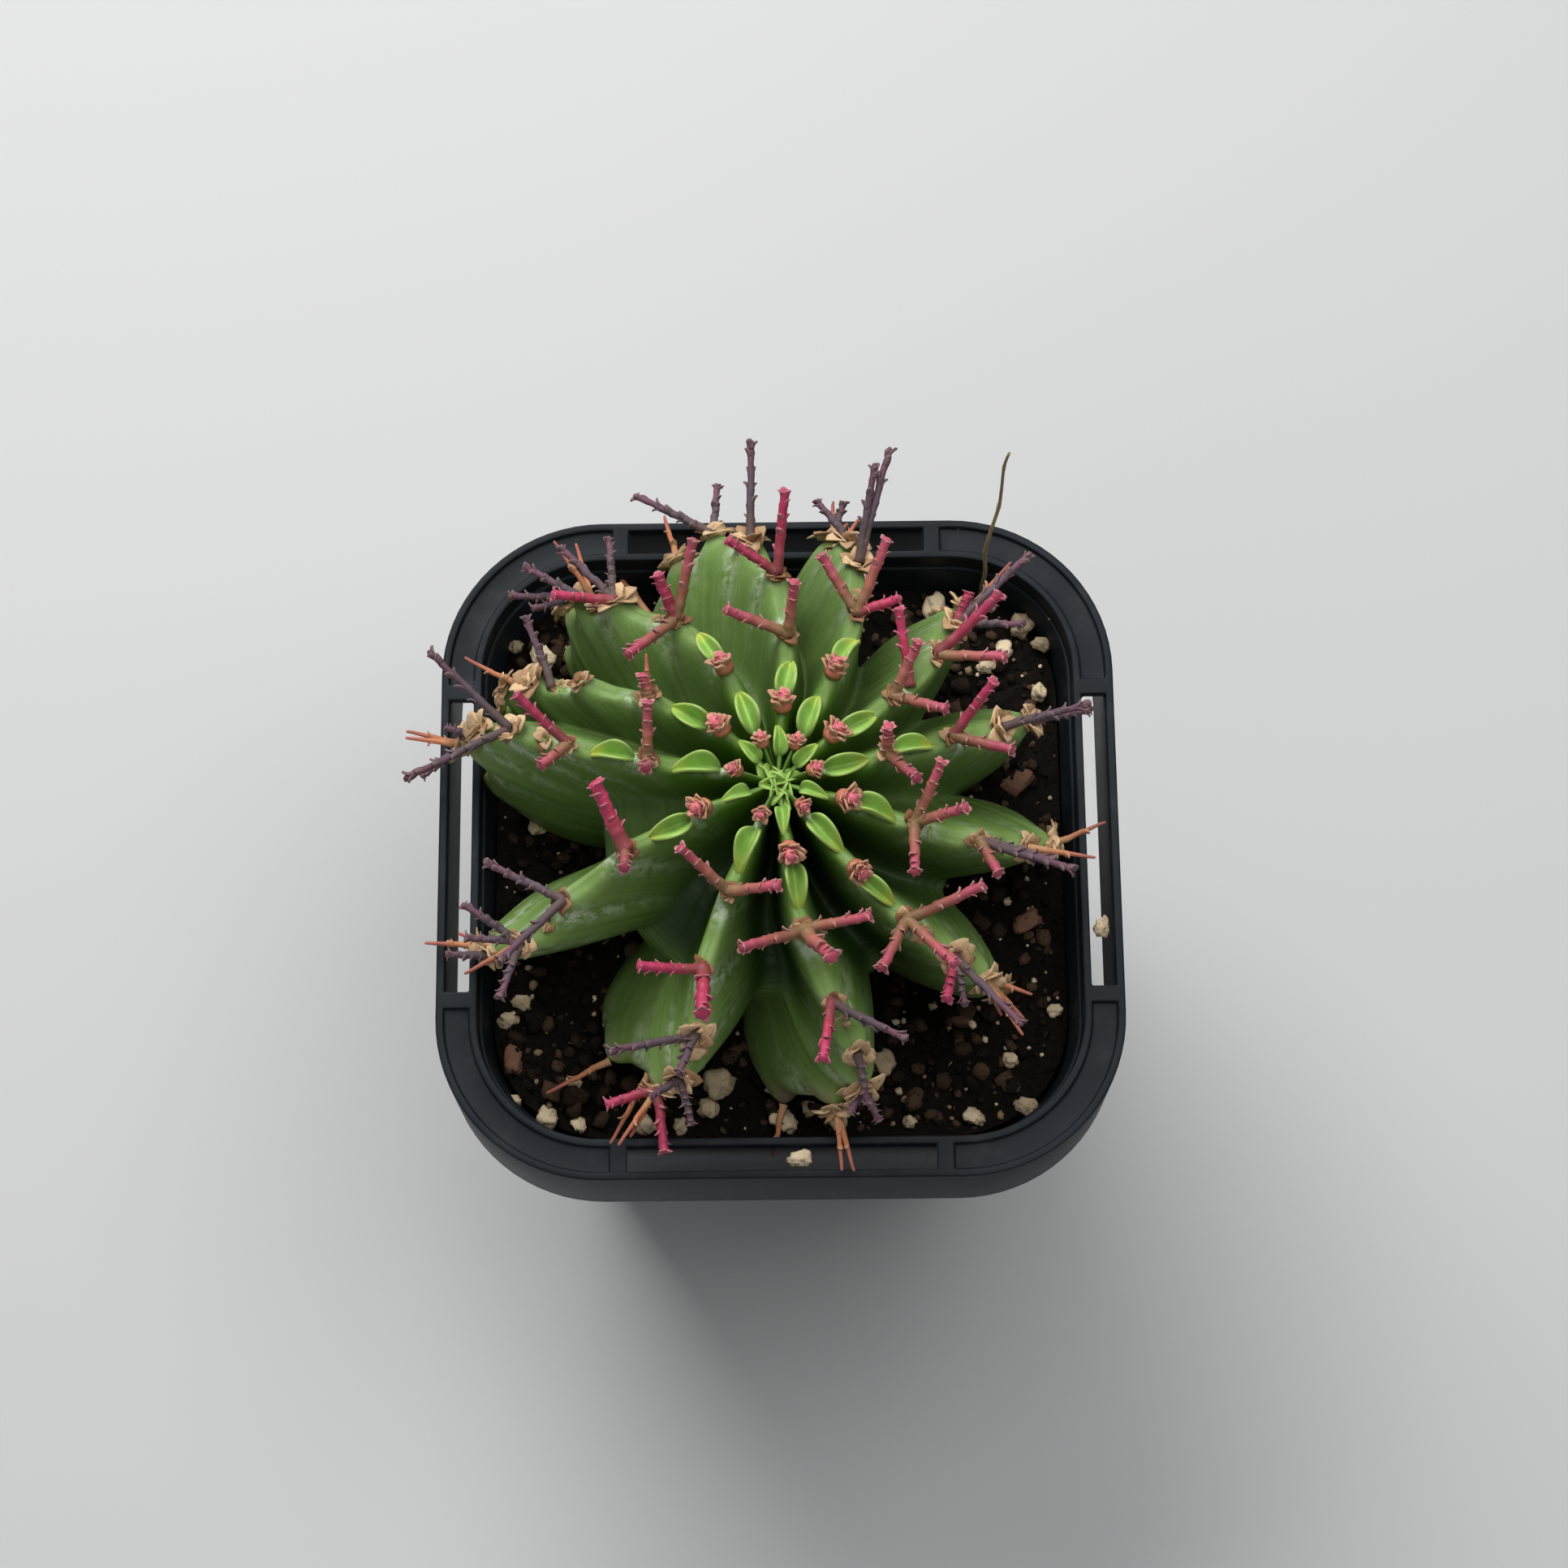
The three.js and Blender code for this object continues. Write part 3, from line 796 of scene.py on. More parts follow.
@dataclass
class Pot:
    """A moulded square pot: skirted rim with a grooved flange, four slots and a tapering body."""

    corner: float = 21.5 * MM
    corner_segments: int = 18
    flange: float = 5.4 * MM
    flange_thickness: float = 1.6 * MM
    lip: float = 1.05 * MM
    wall: float = 1.2 * MM
    skirt: float = 17 * MM
    base_width: float = 62 * MM
    floor: float = 1.6 * MM
    groove_depth: float = 0.6 * MM
    slot_half: float = 20 * MM
    slot_margin: float = 2.2 * MM
    step_drop: float = 3.5 * MM
    step: float = 0.5 * MM
    foot_recess: float = 0.8 * MM
    foot_width: float = 3.5 * MM
    drain_radius: float = 3 * MM
    drain_offset: float = 19 * MM
    edge: float = 0.26 * MM

    def __post_init__(self) -> None:
        """Reads the rim's size from the frame."""
        low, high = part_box("pot")
        self.width: float = high.x - low.x
        self.top: float = high.z
        self.under: float = self.top - self.flange_thickness

    def depth_inside(self, x: float, y: float) -> float:
        """How far a point of the flange lies inside the rim's outline.

        Args:
            x: The point's X.
            y: The point's Y.

        Returns:
            The distance in metres.
        """
        flat = self.width / 2 - self.corner
        over = Vector((max(abs(x) - flat, 0), max(abs(y) - flat, 0)))
        return self.corner - over.length if over.length > 0 else self.width / 2 - max(abs(x), abs(y))

    def shell(self) -> Object:
        """Draws the whole shell from one block, by insets and extrusions.

        Returns:
            The shell without slots.
        """
        Bench.clear()
        middle = self.top - self.skirt / 2
        bpy.ops.mesh.primitive_cube_add(
            size=1, location=(0, 0, middle), scale=(self.width, self.width, self.skirt)
        )
        shell = bpy.context.object
        bpy.ops.object.transform_apply(location=True, rotation=True, scale=True)
        bpy.ops.object.mode_set(mode="EDIT")
        Bench.choose("EDGE", lambda e: abs(e.verts[0].co.z - e.verts[1].co.z) > self.skirt / 2)
        bpy.ops.mesh.bevel(offset=self.corner, segments=self.corner_segments, affect="EDGES")

        Bench.choose("FACE", lambda f: f.normal.z < -0.9)
        bpy.ops.mesh.inset(thickness=self.wall)
        Bench.push(self.skirt - self.flange_thickness)
        bpy.ops.mesh.inset(thickness=self.flange - 2 * self.wall)
        body_width = self.width - 2 * (self.flange - self.wall)
        Bench.push(-self.under, self.base_width / body_width)
        bpy.ops.mesh.inset(thickness=self.foot_width)
        Bench.push(self.foot_recess)

        near_top = self.top - self.edge
        Bench.choose("FACE", lambda f: f.normal.z > 0.9 and f.calc_center_median().z > near_top)
        for ring in (self.lip, self.flange - 2 * self.lip, self.lip):
            bpy.ops.mesh.inset(thickness=ring)
        Bench.push(-self.step_drop)
        bpy.ops.mesh.inset(thickness=self.step)
        inner = self.width - 2 * (self.flange + self.step)
        drop = self.top - self.step_drop - self.floor - self.foot_recess
        Bench.push(-drop, (self.base_width - 2 * self.wall) / inner)
        return shell

    def cut_rim(self) -> None:
        """Sinks the grooves at the corners and opens the four slots."""
        for reach in (self.slot_half, self.slot_half + self.slot_margin):
            for side in (-1, 1):
                for normal in ((1, 0, 0), (0, 1, 0)):
                    bpy.ops.mesh.select_all(action="SELECT")
                    place = tuple(side * reach * n for n in normal)
                    bpy.ops.mesh.bisect(plane_co=place, plane_no=normal)
        groove_end = self.slot_half + self.slot_margin
        half_lip = self.lip / 2

        def on_ring(face: bmesh.types.BMFace, height: float, up: bool) -> bool:
            middle = face.calc_center_median()
            inside = self.depth_inside(middle.x, middle.y)
            between = self.lip + half_lip / 2 < inside < self.flange - self.lip - half_lip / 2
            level = abs(middle.z - height) < self.edge
            return between and level and (face.normal.z > 0.9 if up else face.normal.z < -0.9)

        def beside(face: bmesh.types.BMFace) -> float:
            middle = face.calc_center_median()
            return min(abs(middle.x), abs(middle.y))

        Bench.choose("FACE", lambda f: on_ring(f, self.top, True) and beside(f) > groove_end)
        Bench.push(-self.groove_depth)
        Bench.choose("FACE", lambda f: beside(f) < self.slot_half and (
            on_ring(f, self.top, True) or on_ring(f, self.under, False)
        ))
        bpy.ops.mesh.delete(type="FACE")
        for x, y in ((1, 0), (-1, 0), (0, 1), (0, -1)):
            side = Vector((x, y, 0))
            Bench.choose("EDGE", lambda e: e.is_boundary and (
                (e.verts[0].co + e.verts[1].co).dot(side) > self.width * 0.8
            ))
            bpy.ops.mesh.bridge_edge_loops()

    def drains(self) -> Object:
        """Four pegs that cut the drain holes.

        Returns:
            The pegs as one object.
        """
        pegs = []
        for x, y in ((1, 1), (-1, 1), (-1, -1), (1, -1)):
            Bench.clear()
            bpy.ops.mesh.primitive_cylinder_add(
                vertices=28, radius=self.drain_radius, depth=6 * self.floor,
                location=(x * self.drain_offset, y * self.drain_offset, 0),
            )
            pegs.append(bpy.context.object)
        for peg in pegs:
            peg.select_set(True)
        bpy.ops.object.join()
        return bpy.context.object

    def build(self, finishes: Finishes) -> Object:
        """Makes the pot.

        Args:
            finishes: The materials.

        Returns:
            The pot.
        """
        shell = self.shell()
        self.cut_rim()
        Bench.outward()
        pegs = self.drains()
        Bench.apply(shell, "BOOLEAN", object=pegs, operation="DIFFERENCE", solver="EXACT")
        bpy.data.objects.remove(pegs)
        Bench.apply(
            shell, "BEVEL", width=self.edge, segments=3, limit_method="ANGLE",
            angle_limit=math.radians(35), use_clamp_overlap=True,
        )
        bpy.ops.object.shade_smooth_by_angle(angle=math.radians(40))
        Bench.dress(shell, "pot_shell", "pot_plastic", [finishes.pot])
        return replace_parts(shell, "pot")


# ---- The stem ----


@dataclass(frozen=True)
class Rib:
    """One rib's crest: bearings in degrees at five levels from apex to soil, reach and phase."""

    name: str
    bearings: tuple[float, ...]
    reach: float
    phase: int


RIBS = (
    Rib("a", (87, 86, 94, 106, 120), 39, 1),
    Rib("l", (112, 115, 129, 133, 139), 39.5, 0),
    Rib("k", (131, 144, 152, 154, 156), 39, 1),
    Rib("j", (169, 168, 164, 165, 169), 41, 0),
    Rib("i", (200, 203, 209, 204, 195), 40.5, 1),
    Rib("h", (246, 246, 251, 246, 225), 37.5, 0),
    Rib("g", (278, 279, 286, 284, 268), 37, 1),
    Rib("f", (309, 311, 317, 321, 323), 35, 0),
    Rib("e", (343, 343, 348, 355, 361), 34.5, 1),
    Rib("d", (373, 376, 378, 382, 387), 34.5, 0),
    Rib("c", (402, 398, 405, 410, 416), 36, 1),
    Rib("b", (424, 424, 432, 439, 446), 38.5, 0),
)


def along_keys(keys: Sequence[float], t: float) -> float:
    """Smooth value at t in 0..1 through evenly spaced keys.

    Args:
        keys: The values at the keys.
        t: Where between the first and the last.

    Returns:
        The value.
    """
    at = min(max(t, 0.0), 1.0) * (len(keys) - 1)
    i = min(int(at), len(keys) - 2)
    u = at - i

    def slope(k: int) -> float:
        return (keys[min(k + 1, len(keys) - 1)] - keys[max(k - 1, 0)]) / 2

    rise = keys[i + 1] - keys[i]
    a = slope(i) - rise
    b = rise - slope(i + 1)
    return keys[i] + rise * u + u * (1 - u) * (a * (1 - u) + b * u)


def mix(a: float, b: float, t: float) -> float:
    """The value a share t of the way from a to b."""
    return a + (b - a) * t


def step(start: float, end: float, value: float) -> float:
    """A smooth step: 0 where the value is at start, 1 where it is at end."""
    t = min(max((value - start) / (end - start), 0.0), 1.0)
    return t * t * (3 - 2 * t)


@dataclass(frozen=True)
class Seat:
    """A place on a crest: the point, and the ways out, down the crest and across it."""

    point: Vector
    out: Vector
    down: Vector
    side: Vector

    def turn(self) -> Matrix:
        """The turn that sets X down the crest, Y across it and Z out of it."""
        return Matrix((self.down, self.side, self.out)).transposed().to_4x4()


@dataclass
class Stem:
    """The ribbed body, one grown piece. Sizes in millimetres, as the ribs are given."""

    height: float = 33.0
    shoulder_height: float = 15.0
    centre_y: float = 1.0
    furrow_reach: float = 23.0
    furrow_drop: tuple[float, float] = (6.0, 13.0)  # at the back, at the front
    flank_run: float = 9.5
    foot_run: float = 8.2
    crest_roundness: float = 0.11
    crest_flat: float = 0.14
    foot_tuck: float = 0.13
    shoulder_level: float = 0.75
    neck_radius: float = 9.0
    neck_length: float = 8.0
    foot_sink: float = 0.9
    first_cluster: tuple[float, float] = (0.055, 0.11)
    cluster_step: float = 0.14
    clusters: int = 7
    last_cup: float = 0.88
    knob_rise: float = 1.8
    knob_span: float = 0.026
    knob_sink: float = 0.3
    knob_width: float = 0.33
    swells: tuple[tuple[float, float], ...] = ((0.16, 0.5), (0.5, 0.16))  # how close, how tall
    ridges: tuple[float, float] = (42, 0.16)  # how many to a rib, how tall
    crowding: float = 1.25  # how far the columns crowd towards the crests
    bloom_lag: float = 0.032
    bloom_span: float = 0.03
    columns: int = 24
    rows: int = 150
    neck_rows: int = 3
    neck_profile: tuple[float, ...] = (1, 0.95, 0.8)

    def __post_init__(self) -> None:
        """Finds the soil in the frame."""
        mound_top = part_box("soil")[1].z / MM
        stem_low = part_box("stem")[0].z / MM
        self.rest: float = stem_low + self.neck_length
        self.soil: float = mound_top - SOIL_MOUND
        self.top: float = self.soil + self.height
        self.shoulder: float = self.soil + self.shoulder_height

    def level(self, rib: Rib, cluster: float) -> float:
        """The level of a cluster on a rib."""
        return self.first_cluster[rib.phase] + self.cluster_step * cluster

    def meridian(self, reach: float, top: float, level: float) -> tuple[float, float]:
        """Radius and height at a level: 0 at the apex, 1 at the soil.

        Args:
            reach: Radius at the shoulder.
            top: Height of the apex.
            level: Where along the meridian.

        Returns:
            Radius and height.
        """
        if level <= self.shoulder_level:
            angle = level / self.shoulder_level * math.pi / 2
            return reach * math.sin(angle), self.shoulder + (top - self.shoulder) * math.cos(angle)
        tuck = (level - self.shoulder_level) / (1 - self.shoulder_level)
        foot = self.rest - self.foot_sink
        return reach * (1 - self.foot_tuck * tuck * tuck), mix(self.shoulder, foot, tuck)

    def stand(self, share: float, level: float) -> float:
        """How far a flank stands proud: 1 on the crest, 0 in the furrow.

        Args:
            share: Share of the flank's run, 0 on the crest.
            level: Where along the rib.

        Returns:
            The share of the full height.
        """
        soft = self.crest_roundness
        x = min(share, 1.0)
        past = max(x - self.crest_flat, 0) / (1 - self.crest_flat)
        flank = 1 - (math.hypot(past, soft) - soft) / (math.hypot(1, soft) - soft)
        upper = mix(1 - step(0.32, 1.0, x), flank**2.0, step(0.1, 0.34, level))
        return mix(upper, 1 - x**1.75, step(0.42, 0.8, level))

    def knob(self, rib: Rib, level: float) -> float:
        """How strongly a cluster's knob shows at a level of a crest."""
        knobs = sum(
            math.exp(-(((level - self.level(rib, n)) / self.knob_span) ** 2))
            for n in range(self.clusters)
        )
        return knobs - self.knob_sink * step(0.03, 0.2, level)

    def bloom(self, rib: Rib, level: float) -> float:
        """How strongly the pale bloom below each knob shows."""
        return sum(
            math.exp(-(((level - self.level(rib, n) - self.bloom_lag) / self.bloom_span) ** 2))
            for n in range(self.clusters)
        )

    @staticmethod
    def front(angle: float) -> float:
        """How far a bearing faces the front, where the furrows run deeper and get more painted shade.
        """
        return step(0.0, 0.8, -math.sin(angle))

    def surface(self, rib: Rib, other: Rib, level: float, share: float, half: float) -> Vector:
        """A point of the skin, in millimetres.

        Args:
            rib: The rib it is on.
            other: The neighbour on that side.
            level: Where along the rib.
            share: 0 on the crest to 1 in the furrow, below 0 on the clockwise side.
            half: Half the gap to the neighbour, in radians.

        Returns:
            The point.
        """
        reach = mix(rib.reach, (rib.reach + other.reach) / 2, abs(share))
        offset = share * half
        angle = math.radians(along_keys(rib.bearings, level)) + offset
        crest_r, crest_z = self.meridian(reach, self.top, level)
        drop = mix(*self.furrow_drop, self.front(angle)) * step(0.0, 0.14, level)
        furrow_r, furrow_z = self.meridian(self.furrow_reach, self.top - drop, level)
        run = mix(self.flank_run, self.foot_run, step(0.4, 0.78, level)) * crest_r / reach
        across = abs(offset) * crest_r / run if run > 0 else 0.0
        stand = self.stand(across, level)
        r, z = mix(furrow_r, crest_r, stand), mix(furrow_z, crest_z, stand)
        tilt = min(level / self.shoulder_level, 1.0) * math.pi / 2
        lift = self.knob_rise * self.knob(rib, level) * math.exp(-((across / self.knob_width) ** 2))
        spot = Vector((r * math.cos(angle), r * math.sin(angle), z))
        wave = sum(noise.noise(spot * scale) * size for scale, size in self.swells)
        count, size = self.ridges
        banding = noise.noise(Vector((level * count, rib.reach, 0))) * size * min(across, 1.0)
        lift += (wave + banding) * step(0.06, 0.3, level) * step(1.0, 0.9, level)
        r += lift * math.sin(tilt)
        z += lift * math.cos(tilt)
        return Vector((r * math.cos(angle), self.centre_y + r * math.sin(angle), z))

    def seat(self, rib: Rib, level: float) -> Seat:
        """The place on a crest at a level.

        Args:
            rib: The rib.
            level: Where along it.

        Returns:
            The seat, in millimetres.
        """
        here = self.surface(rib, rib, level, 0, 0)
        above = self.surface(rib, rib, max(level - 0.03, 0.001), 0, 0)
        below = self.surface(rib, rib, min(level + 0.03, 1.0), 0, 0)
        down = (below - above).normalized()
        radial = Vector((here.x, here.y - self.centre_y, 0)).normalized()
        side = Vector((0, 0, 1)).cross(radial)
        out = down.cross(side).normalized()
        return Seat(here, out, down, side)

    def columns_round(self, level: float) -> list[tuple[Rib, Rib, float, float]]:
        """Every column at a level, counter-clockwise from the first crest.

        Args:
            level: Where along the ribs.

        Returns:
            Rib, neighbour, signed share and half gap for each column.
        """
        columns = []
        half = self.columns // 2
        for i, rib in enumerate(RIBS):
            after, before = RIBS[(i + 1) % len(RIBS)], RIBS[i - 1]
            bearing = along_keys(rib.bearings, level)
            ahead = math.radians((along_keys(after.bearings, level) - bearing) % 360) / 2
            behind = math.radians((bearing - along_keys(before.bearings, level)) % 360) / 2
            for k in range(1 - half, half + 1):
                share = (abs(k) / half) ** self.crowding
                if k < 0:
                    columns.append((rib, before, -share, behind))
                else:
                    columns.append((rib, after, share, ahead))
        return columns

    def build(self, finishes: Finishes) -> Object:
        """Shapes a round ball into the ribbed stem.

        Args:
            finishes: The materials.

        Returns:
            The stem.
        """
        round_about = self.columns * len(RIBS)
        steps = self.rows + self.neck_rows + 1
        Bench.clear()
        bpy.ops.mesh.primitive_uv_sphere_add(segments=round_about, ring_count=steps, radius=1)
        ball = bpy.context.object
        rings = []
        for row in range(1, steps):
            level = min((row / self.rows) ** 0.95, 1.0)
            ring = []
            for rib, other, share, half in self.columns_round(level):
                point = self.surface(rib, other, level, share, half)
                if row > self.rows:
                    point = self.neck(point, row - self.rows - 1)
                pale = self.bloom(rib, level) * math.exp(-((share / 0.27) ** 2))
                lane = rib.reach * 7.3 + (31.0 if share < 0 else 0.0)
                # deep: how much painted shade the furrows get, full on the front ribs, 0.45 at the
                # back.
                deep = mix(0.45, 1.0, self.front(math.atan2(point.y - self.centre_y, point.x)))
                ring.append((point, level, abs(share), pale, lane, deep))
            rings.append(ring)
        top = (Vector((0, self.centre_y, rings[0][0][0].z)), 0.0, 0.0, 0.0, 0.0, 0.5)
        low = (Vector((0, self.centre_y, rings[-1][0][0].z)), 1.0, 1.0, 0.0, 0.0, 0.5)

        table = []
        for vertex in ball.data.vertices:
            row = round(math.acos(max(-1.0, min(1.0, vertex.co.z))) / math.pi * steps)
            turn = math.atan2(vertex.co.y, vertex.co.x) % math.tau
            column = round(turn / math.tau * round_about) % round_about
            entry = top if row == 0 else low if row == steps else rings[row - 1][column]
            vertex.co = entry[0] * MM
            table.append(entry[1:])
        for name, values in zip(("level", "share", "knob", "lane", "deep"), zip(*table)):
            mark = ball.data.attributes.new(name, "FLOAT", "POINT")
            mark.data.foreach_set("value", values)
        Bench.edit(ball)
        Bench.outward()
        bpy.ops.object.shade_smooth()
        Bench.dress(ball, "ribbed_stem", "stem_skin", [finishes.stem])
        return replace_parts(ball, "stem")

    def neck(self, point: Vector, row: int) -> Vector:
        """A point of the underside and the root neck.

        Args:
            point: The foot point above it.
            row: Which row of the neck.

        Returns:
            The neck point.
        """
        angle = math.atan2(point.y - self.centre_y, point.x)
        radius = self.neck_radius * self.neck_profile[row]
        drop = (self.foot_sink, self.neck_length / 2, self.neck_length)[row]
        return Vector((
            radius * math.cos(angle), self.centre_y + radius * math.sin(angle), self.rest - drop
        ))


# ---- Flower stalks, their scales and dried cups ----


@dataclass(frozen=True)
class Stalk:
    """One flower stalk: rib, cluster, bearing and lift in degrees, length in mm, age."""

    rib: str
    cluster: float
    bearing: float
    lift: float
    length: float
    age: Age
    thick: float = 1.0


def stalks(rib: str, age: Age, *rows: tuple[float, ...]) -> list[Stalk]:
    """Flower stalks of one age on one rib.

    Args:
        rib: The rib's name.
        age: Their age.
        *rows: Cluster, bearing, lift, length and, where it is not 1, thickness.

    Returns:
        The stalks.
    """
    return [Stalk(rib, row[0], row[1], row[2], row[3], age, *row[4:]) for row in rows]


STALKS = [
    *stalks("a", Age.YOUNG, (1, 75, 50, 8), (1, 163, 25, 9)),
    *stalks("a", Age.CRIMSON, (2, 83, 28, 11), (2, 150, 25, 8)),
    *stalks("a", Age.OLD, (3, 90, 12, 13), (4, 90, 5, 7), (4, 154, 5, 12)),
    *stalks("a", Age.DRY, (5, 101, 0, 6.5), (6, 123, 0, 11)),
    *stalks("b", Age.YOUNG, (2, 126, 25, 9), (2, 63, 30, 10.5)),
    *stalks("b", Age.CRIMSON, (2, 13, 25, 6)),
    *stalks("b", Age.OLD, (3, 75, 15, 15.5), (3, 82, 20, 13), (4, 124, 5, 7), (5, 76, 0, 5.5)),
    *stalks("b", Age.DRY, (5, 84, 0, 5.5), (4.5, 55, 0, 5.2), (5, 38, 0, 3)),
    *stalks("c", Age.YOUNG, (1, 62, 35, 8), (1, 339, 25, 8), (2, 348, 20, 9.5)),
    *stalks("c", Age.CRIMSON, (1.5, 97, 25, 10.3), (2, 38, 20, 11.5, 1.15), (3, 67, 10, 4.5)),
    *stalks("c", Age.OLD, (3, 44, 10, 13.5), (3, 0, 5, 9)),
    *stalks("c", Age.DRY, (3, 50, 5, 11)),
    *stalks("d", Age.YOUNG, (1, 303, 40, 8), (1, 84, 60, 5), (2, 337, 25, 9)),
    *stalks("d", Age.CRIMSON, (2, 48, 35, 9.5)),
    *stalks("d", Age.OLD, (3, 13, 10, 12), (4, 11, 0, 8.6)),
    *stalks("d", Age.DRY, (4.5, 15, 0, 7.1)),
    *stalks("e", Age.YOUNG, (1, 7, 40, 8), (1, 265, 30, 9), (1, 62, 35, 9), (2, 295, 20, 6)),
    *stalks("e", Age.OLD, (2, 336, 12, 13), (2, 345, 5, 10)),
    *stalks("e", Age.DRY, (3, 349, 0, 8.8), (4, 20, 0, 7.8)),
    *stalks("f", Age.YOUNG, (2, 17, 22, 11), (2, 310, 32, 10.5), (2, 243, 25, 9)),
    *stalks("f", Age.CRIMSON, (3, 260, 20, 7)),
    *stalks("f", Age.OLD, (3, 308, 14, 13), (3, 284, 5, 6.5)),
    *stalks("f", Age.DRY, (4, 302, -5, 8.5), (4, 311, -5, 7), (4.5, 299, -10, 5.4), (4.5, 337, 0, 6.6)),
    *stalks("g", Age.YOUNG, (1, 204, 25, 9.5), (1, 8, 25, 9.2), (1, 301, 45, 8.5, 1.25)),
    *stalks("g", Age.CRIMSON, (2, 260, 30, 10)),
    *stalks("g", Age.OLD, (2, 326, 18, 11.5), (3, 285, -25, 7), (4, 297, -10, 4.7), (4, 240, -10, 3.6)),
    *stalks("g", Age.DRY, (5, 274, -5, 8.1), (5, 284, -5, 8.5), (6, 255, -5, 7)),
    *stalks("h", Age.YOUNG, (1, 143, 35, 8.8), (1, 352, 35, 8)),
    *stalks("h", Age.CRIMSON, (2, 185, 25, 9), (2, 272, 40, 8.8, 1.3)),
    *stalks("h", Age.CRIMSON, (5, 280, 0, 8.3), (5, 193, 0, 6.8)),
    *stalks("h", Age.OLD, (3, 195, 15, 11.5), (3, 247, 35, 7.5), (4, 204, 0, 4.6), (4, 280, -10, 6)),
    *stalks("h", Age.DRY, (5, 238, 0, 8.6), (5.3, 238, -5, 10.2), (5, 237, -10, 6.9), (6, 205, 0, 9.3)),
    *stalks("i", Age.CRIMSON, (1, 119, 30, 9.5, 1.45)),
    *stalks("i", Age.YOUNG, (1, 266, 40, 4)),
    *stalks("i", Age.OLD, (2, 156, 20, 11), (2, 230, 18, 12.5), (3, 148, 10, 9), (3, 248, 5, 8)),
    *stalks("i", Age.OLD, (3, 172, 5, 7.2), (4, 185, 0, 5.8)),
    *stalks("i", Age.DRY, (3, 211, 5, 8.2), (5, 176, 0, 7.9), (5, 178, -5, 6.8), (4.5, 162, 0, 5)),
    *stalks("j", Age.YOUNG, (1, 88, 35, 7.5), (1, 268, 40, 3), (2, 225, 20, 5.5)),
    *stalks("j", Age.CRIMSON, (2, 142, 25, 9.5)),
    *stalks("j", Age.OLD, (3, 139, 12, 14.5), (3, 206, 5, 15), (4.5, 162, 0, 5.2), (5, 214, -5, 7.2)),
    *stalks("j", Age.DRY, (5, 175, 0, 7.9), (5, 167, -5, 8.1)),
    *stalks("k", Age.YOUNG, (1, 100, 40, 3)),
    *stalks("k", Age.OLD, (2.7, 108, 10, 10)),
    *stalks("k", Age.DRY, (1, 90, 30, 5.5), (3.5, 149, 5, 9.2)),
    *stalks("l", Age.YOUNG, (2, 73, 30, 10.8), (2, 227, 25, 9.5)),
    *stalks("l", Age.CRIMSON, (2, 116, 30, 6.5, 1.2), (3, 183, 20, 8.5)),
    *stalks("l", Age.OLD, (3, 133, 10, 10), (3.5, 152, 10, 11.5), (3, 96, 5, 8.7), (4, 183, 0, 9.3)),
    *stalks("l", Age.OLD, (4, 195, -5, 6.5)),
    *stalks("l", Age.DRY, (3.7, 106, 5, 9), (3.5, 125, 5, 11)),
]

# How many of the frame's numbered spines stand on each rib.
SPINE_NODES = {
    "a": 3, "b": 2, "c": 3, "d": 3, "e": 3, "f": 3, "g": 4, "h": 4, "i": 2, "j": 3, "k": 0, "l": 2
}
SPINE_MARKS = ("along", "scale", "tint")
BUDS_ON_SECOND = "bfl"  # ribs whose second cluster is still a bud
GOLDEN_TURN = 2.4  # radians from one scale or leaf of a spiral to the next


def scale_pattern(length: float, width: float, curl: float, thick: float) -> Pattern:
    """A small scale or bract, its foot at the origin, rising along Z and curling out along X.

    Args:
        length: Its length in millimetres.
        width: Its greatest width.
        curl: How far its tip curls out, as a share of the length.
        thick: Its thickness.

    Returns:
        The scale's pattern.
    """
    Bench.clear()
    bpy.ops.mesh.primitive_grid_add(x_subdivisions=2, y_subdivisions=4, size=2)
    blade = bpy.context.object
    for vertex in blade.data.vertices:
        across, rise = vertex.co.x, (vertex.co.y + 1) / 2
        wide = width / 2 * math.sin(math.pi * (0.22 + 0.62 * rise)) ** 0.8
        cup = 0.25 * width * across * across
        vertex.co = Vector((
            length * curl * rise**2.4 - cup, wide * across, length * rise * (1 - 0.3 * curl * rise)
        ))
    Bench.apply(blade, "SOLIDIFY", thickness=thick, offset=0)
    pattern = Pattern.of(blade)
    rise = pattern.points[:, 2] / max(pattern.points[:, 2].max(), 1e-9)
    return pattern.mark("scale", 0.35 + 0.65 * np.clip(rise, 0, 1))


@dataclass(frozen=True)
class StalkShape:
    """The profile of a flower stalk of one age. Lengths are shares of a 10 mm stalk."""

    radius: float
    taper: float
    nodes: tuple[float, ...]
    swell: float
    flare: float
    scales: int
    crown: int
    bend: float
    sides: int = 10


STALK_SHAPES = {
    Age.YOUNG: StalkShape(0.74, 0.78, (0.18, 0.4, 0.62, 0.8), 0.14, 1.18, 2, 5, 0.8),
    Age.CRIMSON: StalkShape(0.68, 0.82, (0.25, 0.45, 0.64, 0.8), 0.13, 1.22, 2, 5, 0.8),
    Age.OLD: StalkShape(0.6, 0.6, (0.18, 0.34, 0.5, 0.66, 0.82), 0.18, 1.1, 2, 3, 1.0, 9),
    Age.DRY: StalkShape(0.52, 0.36, (0.28, 0.56), 0.12, 1.0, 1, 0, 0.9, 8),
}


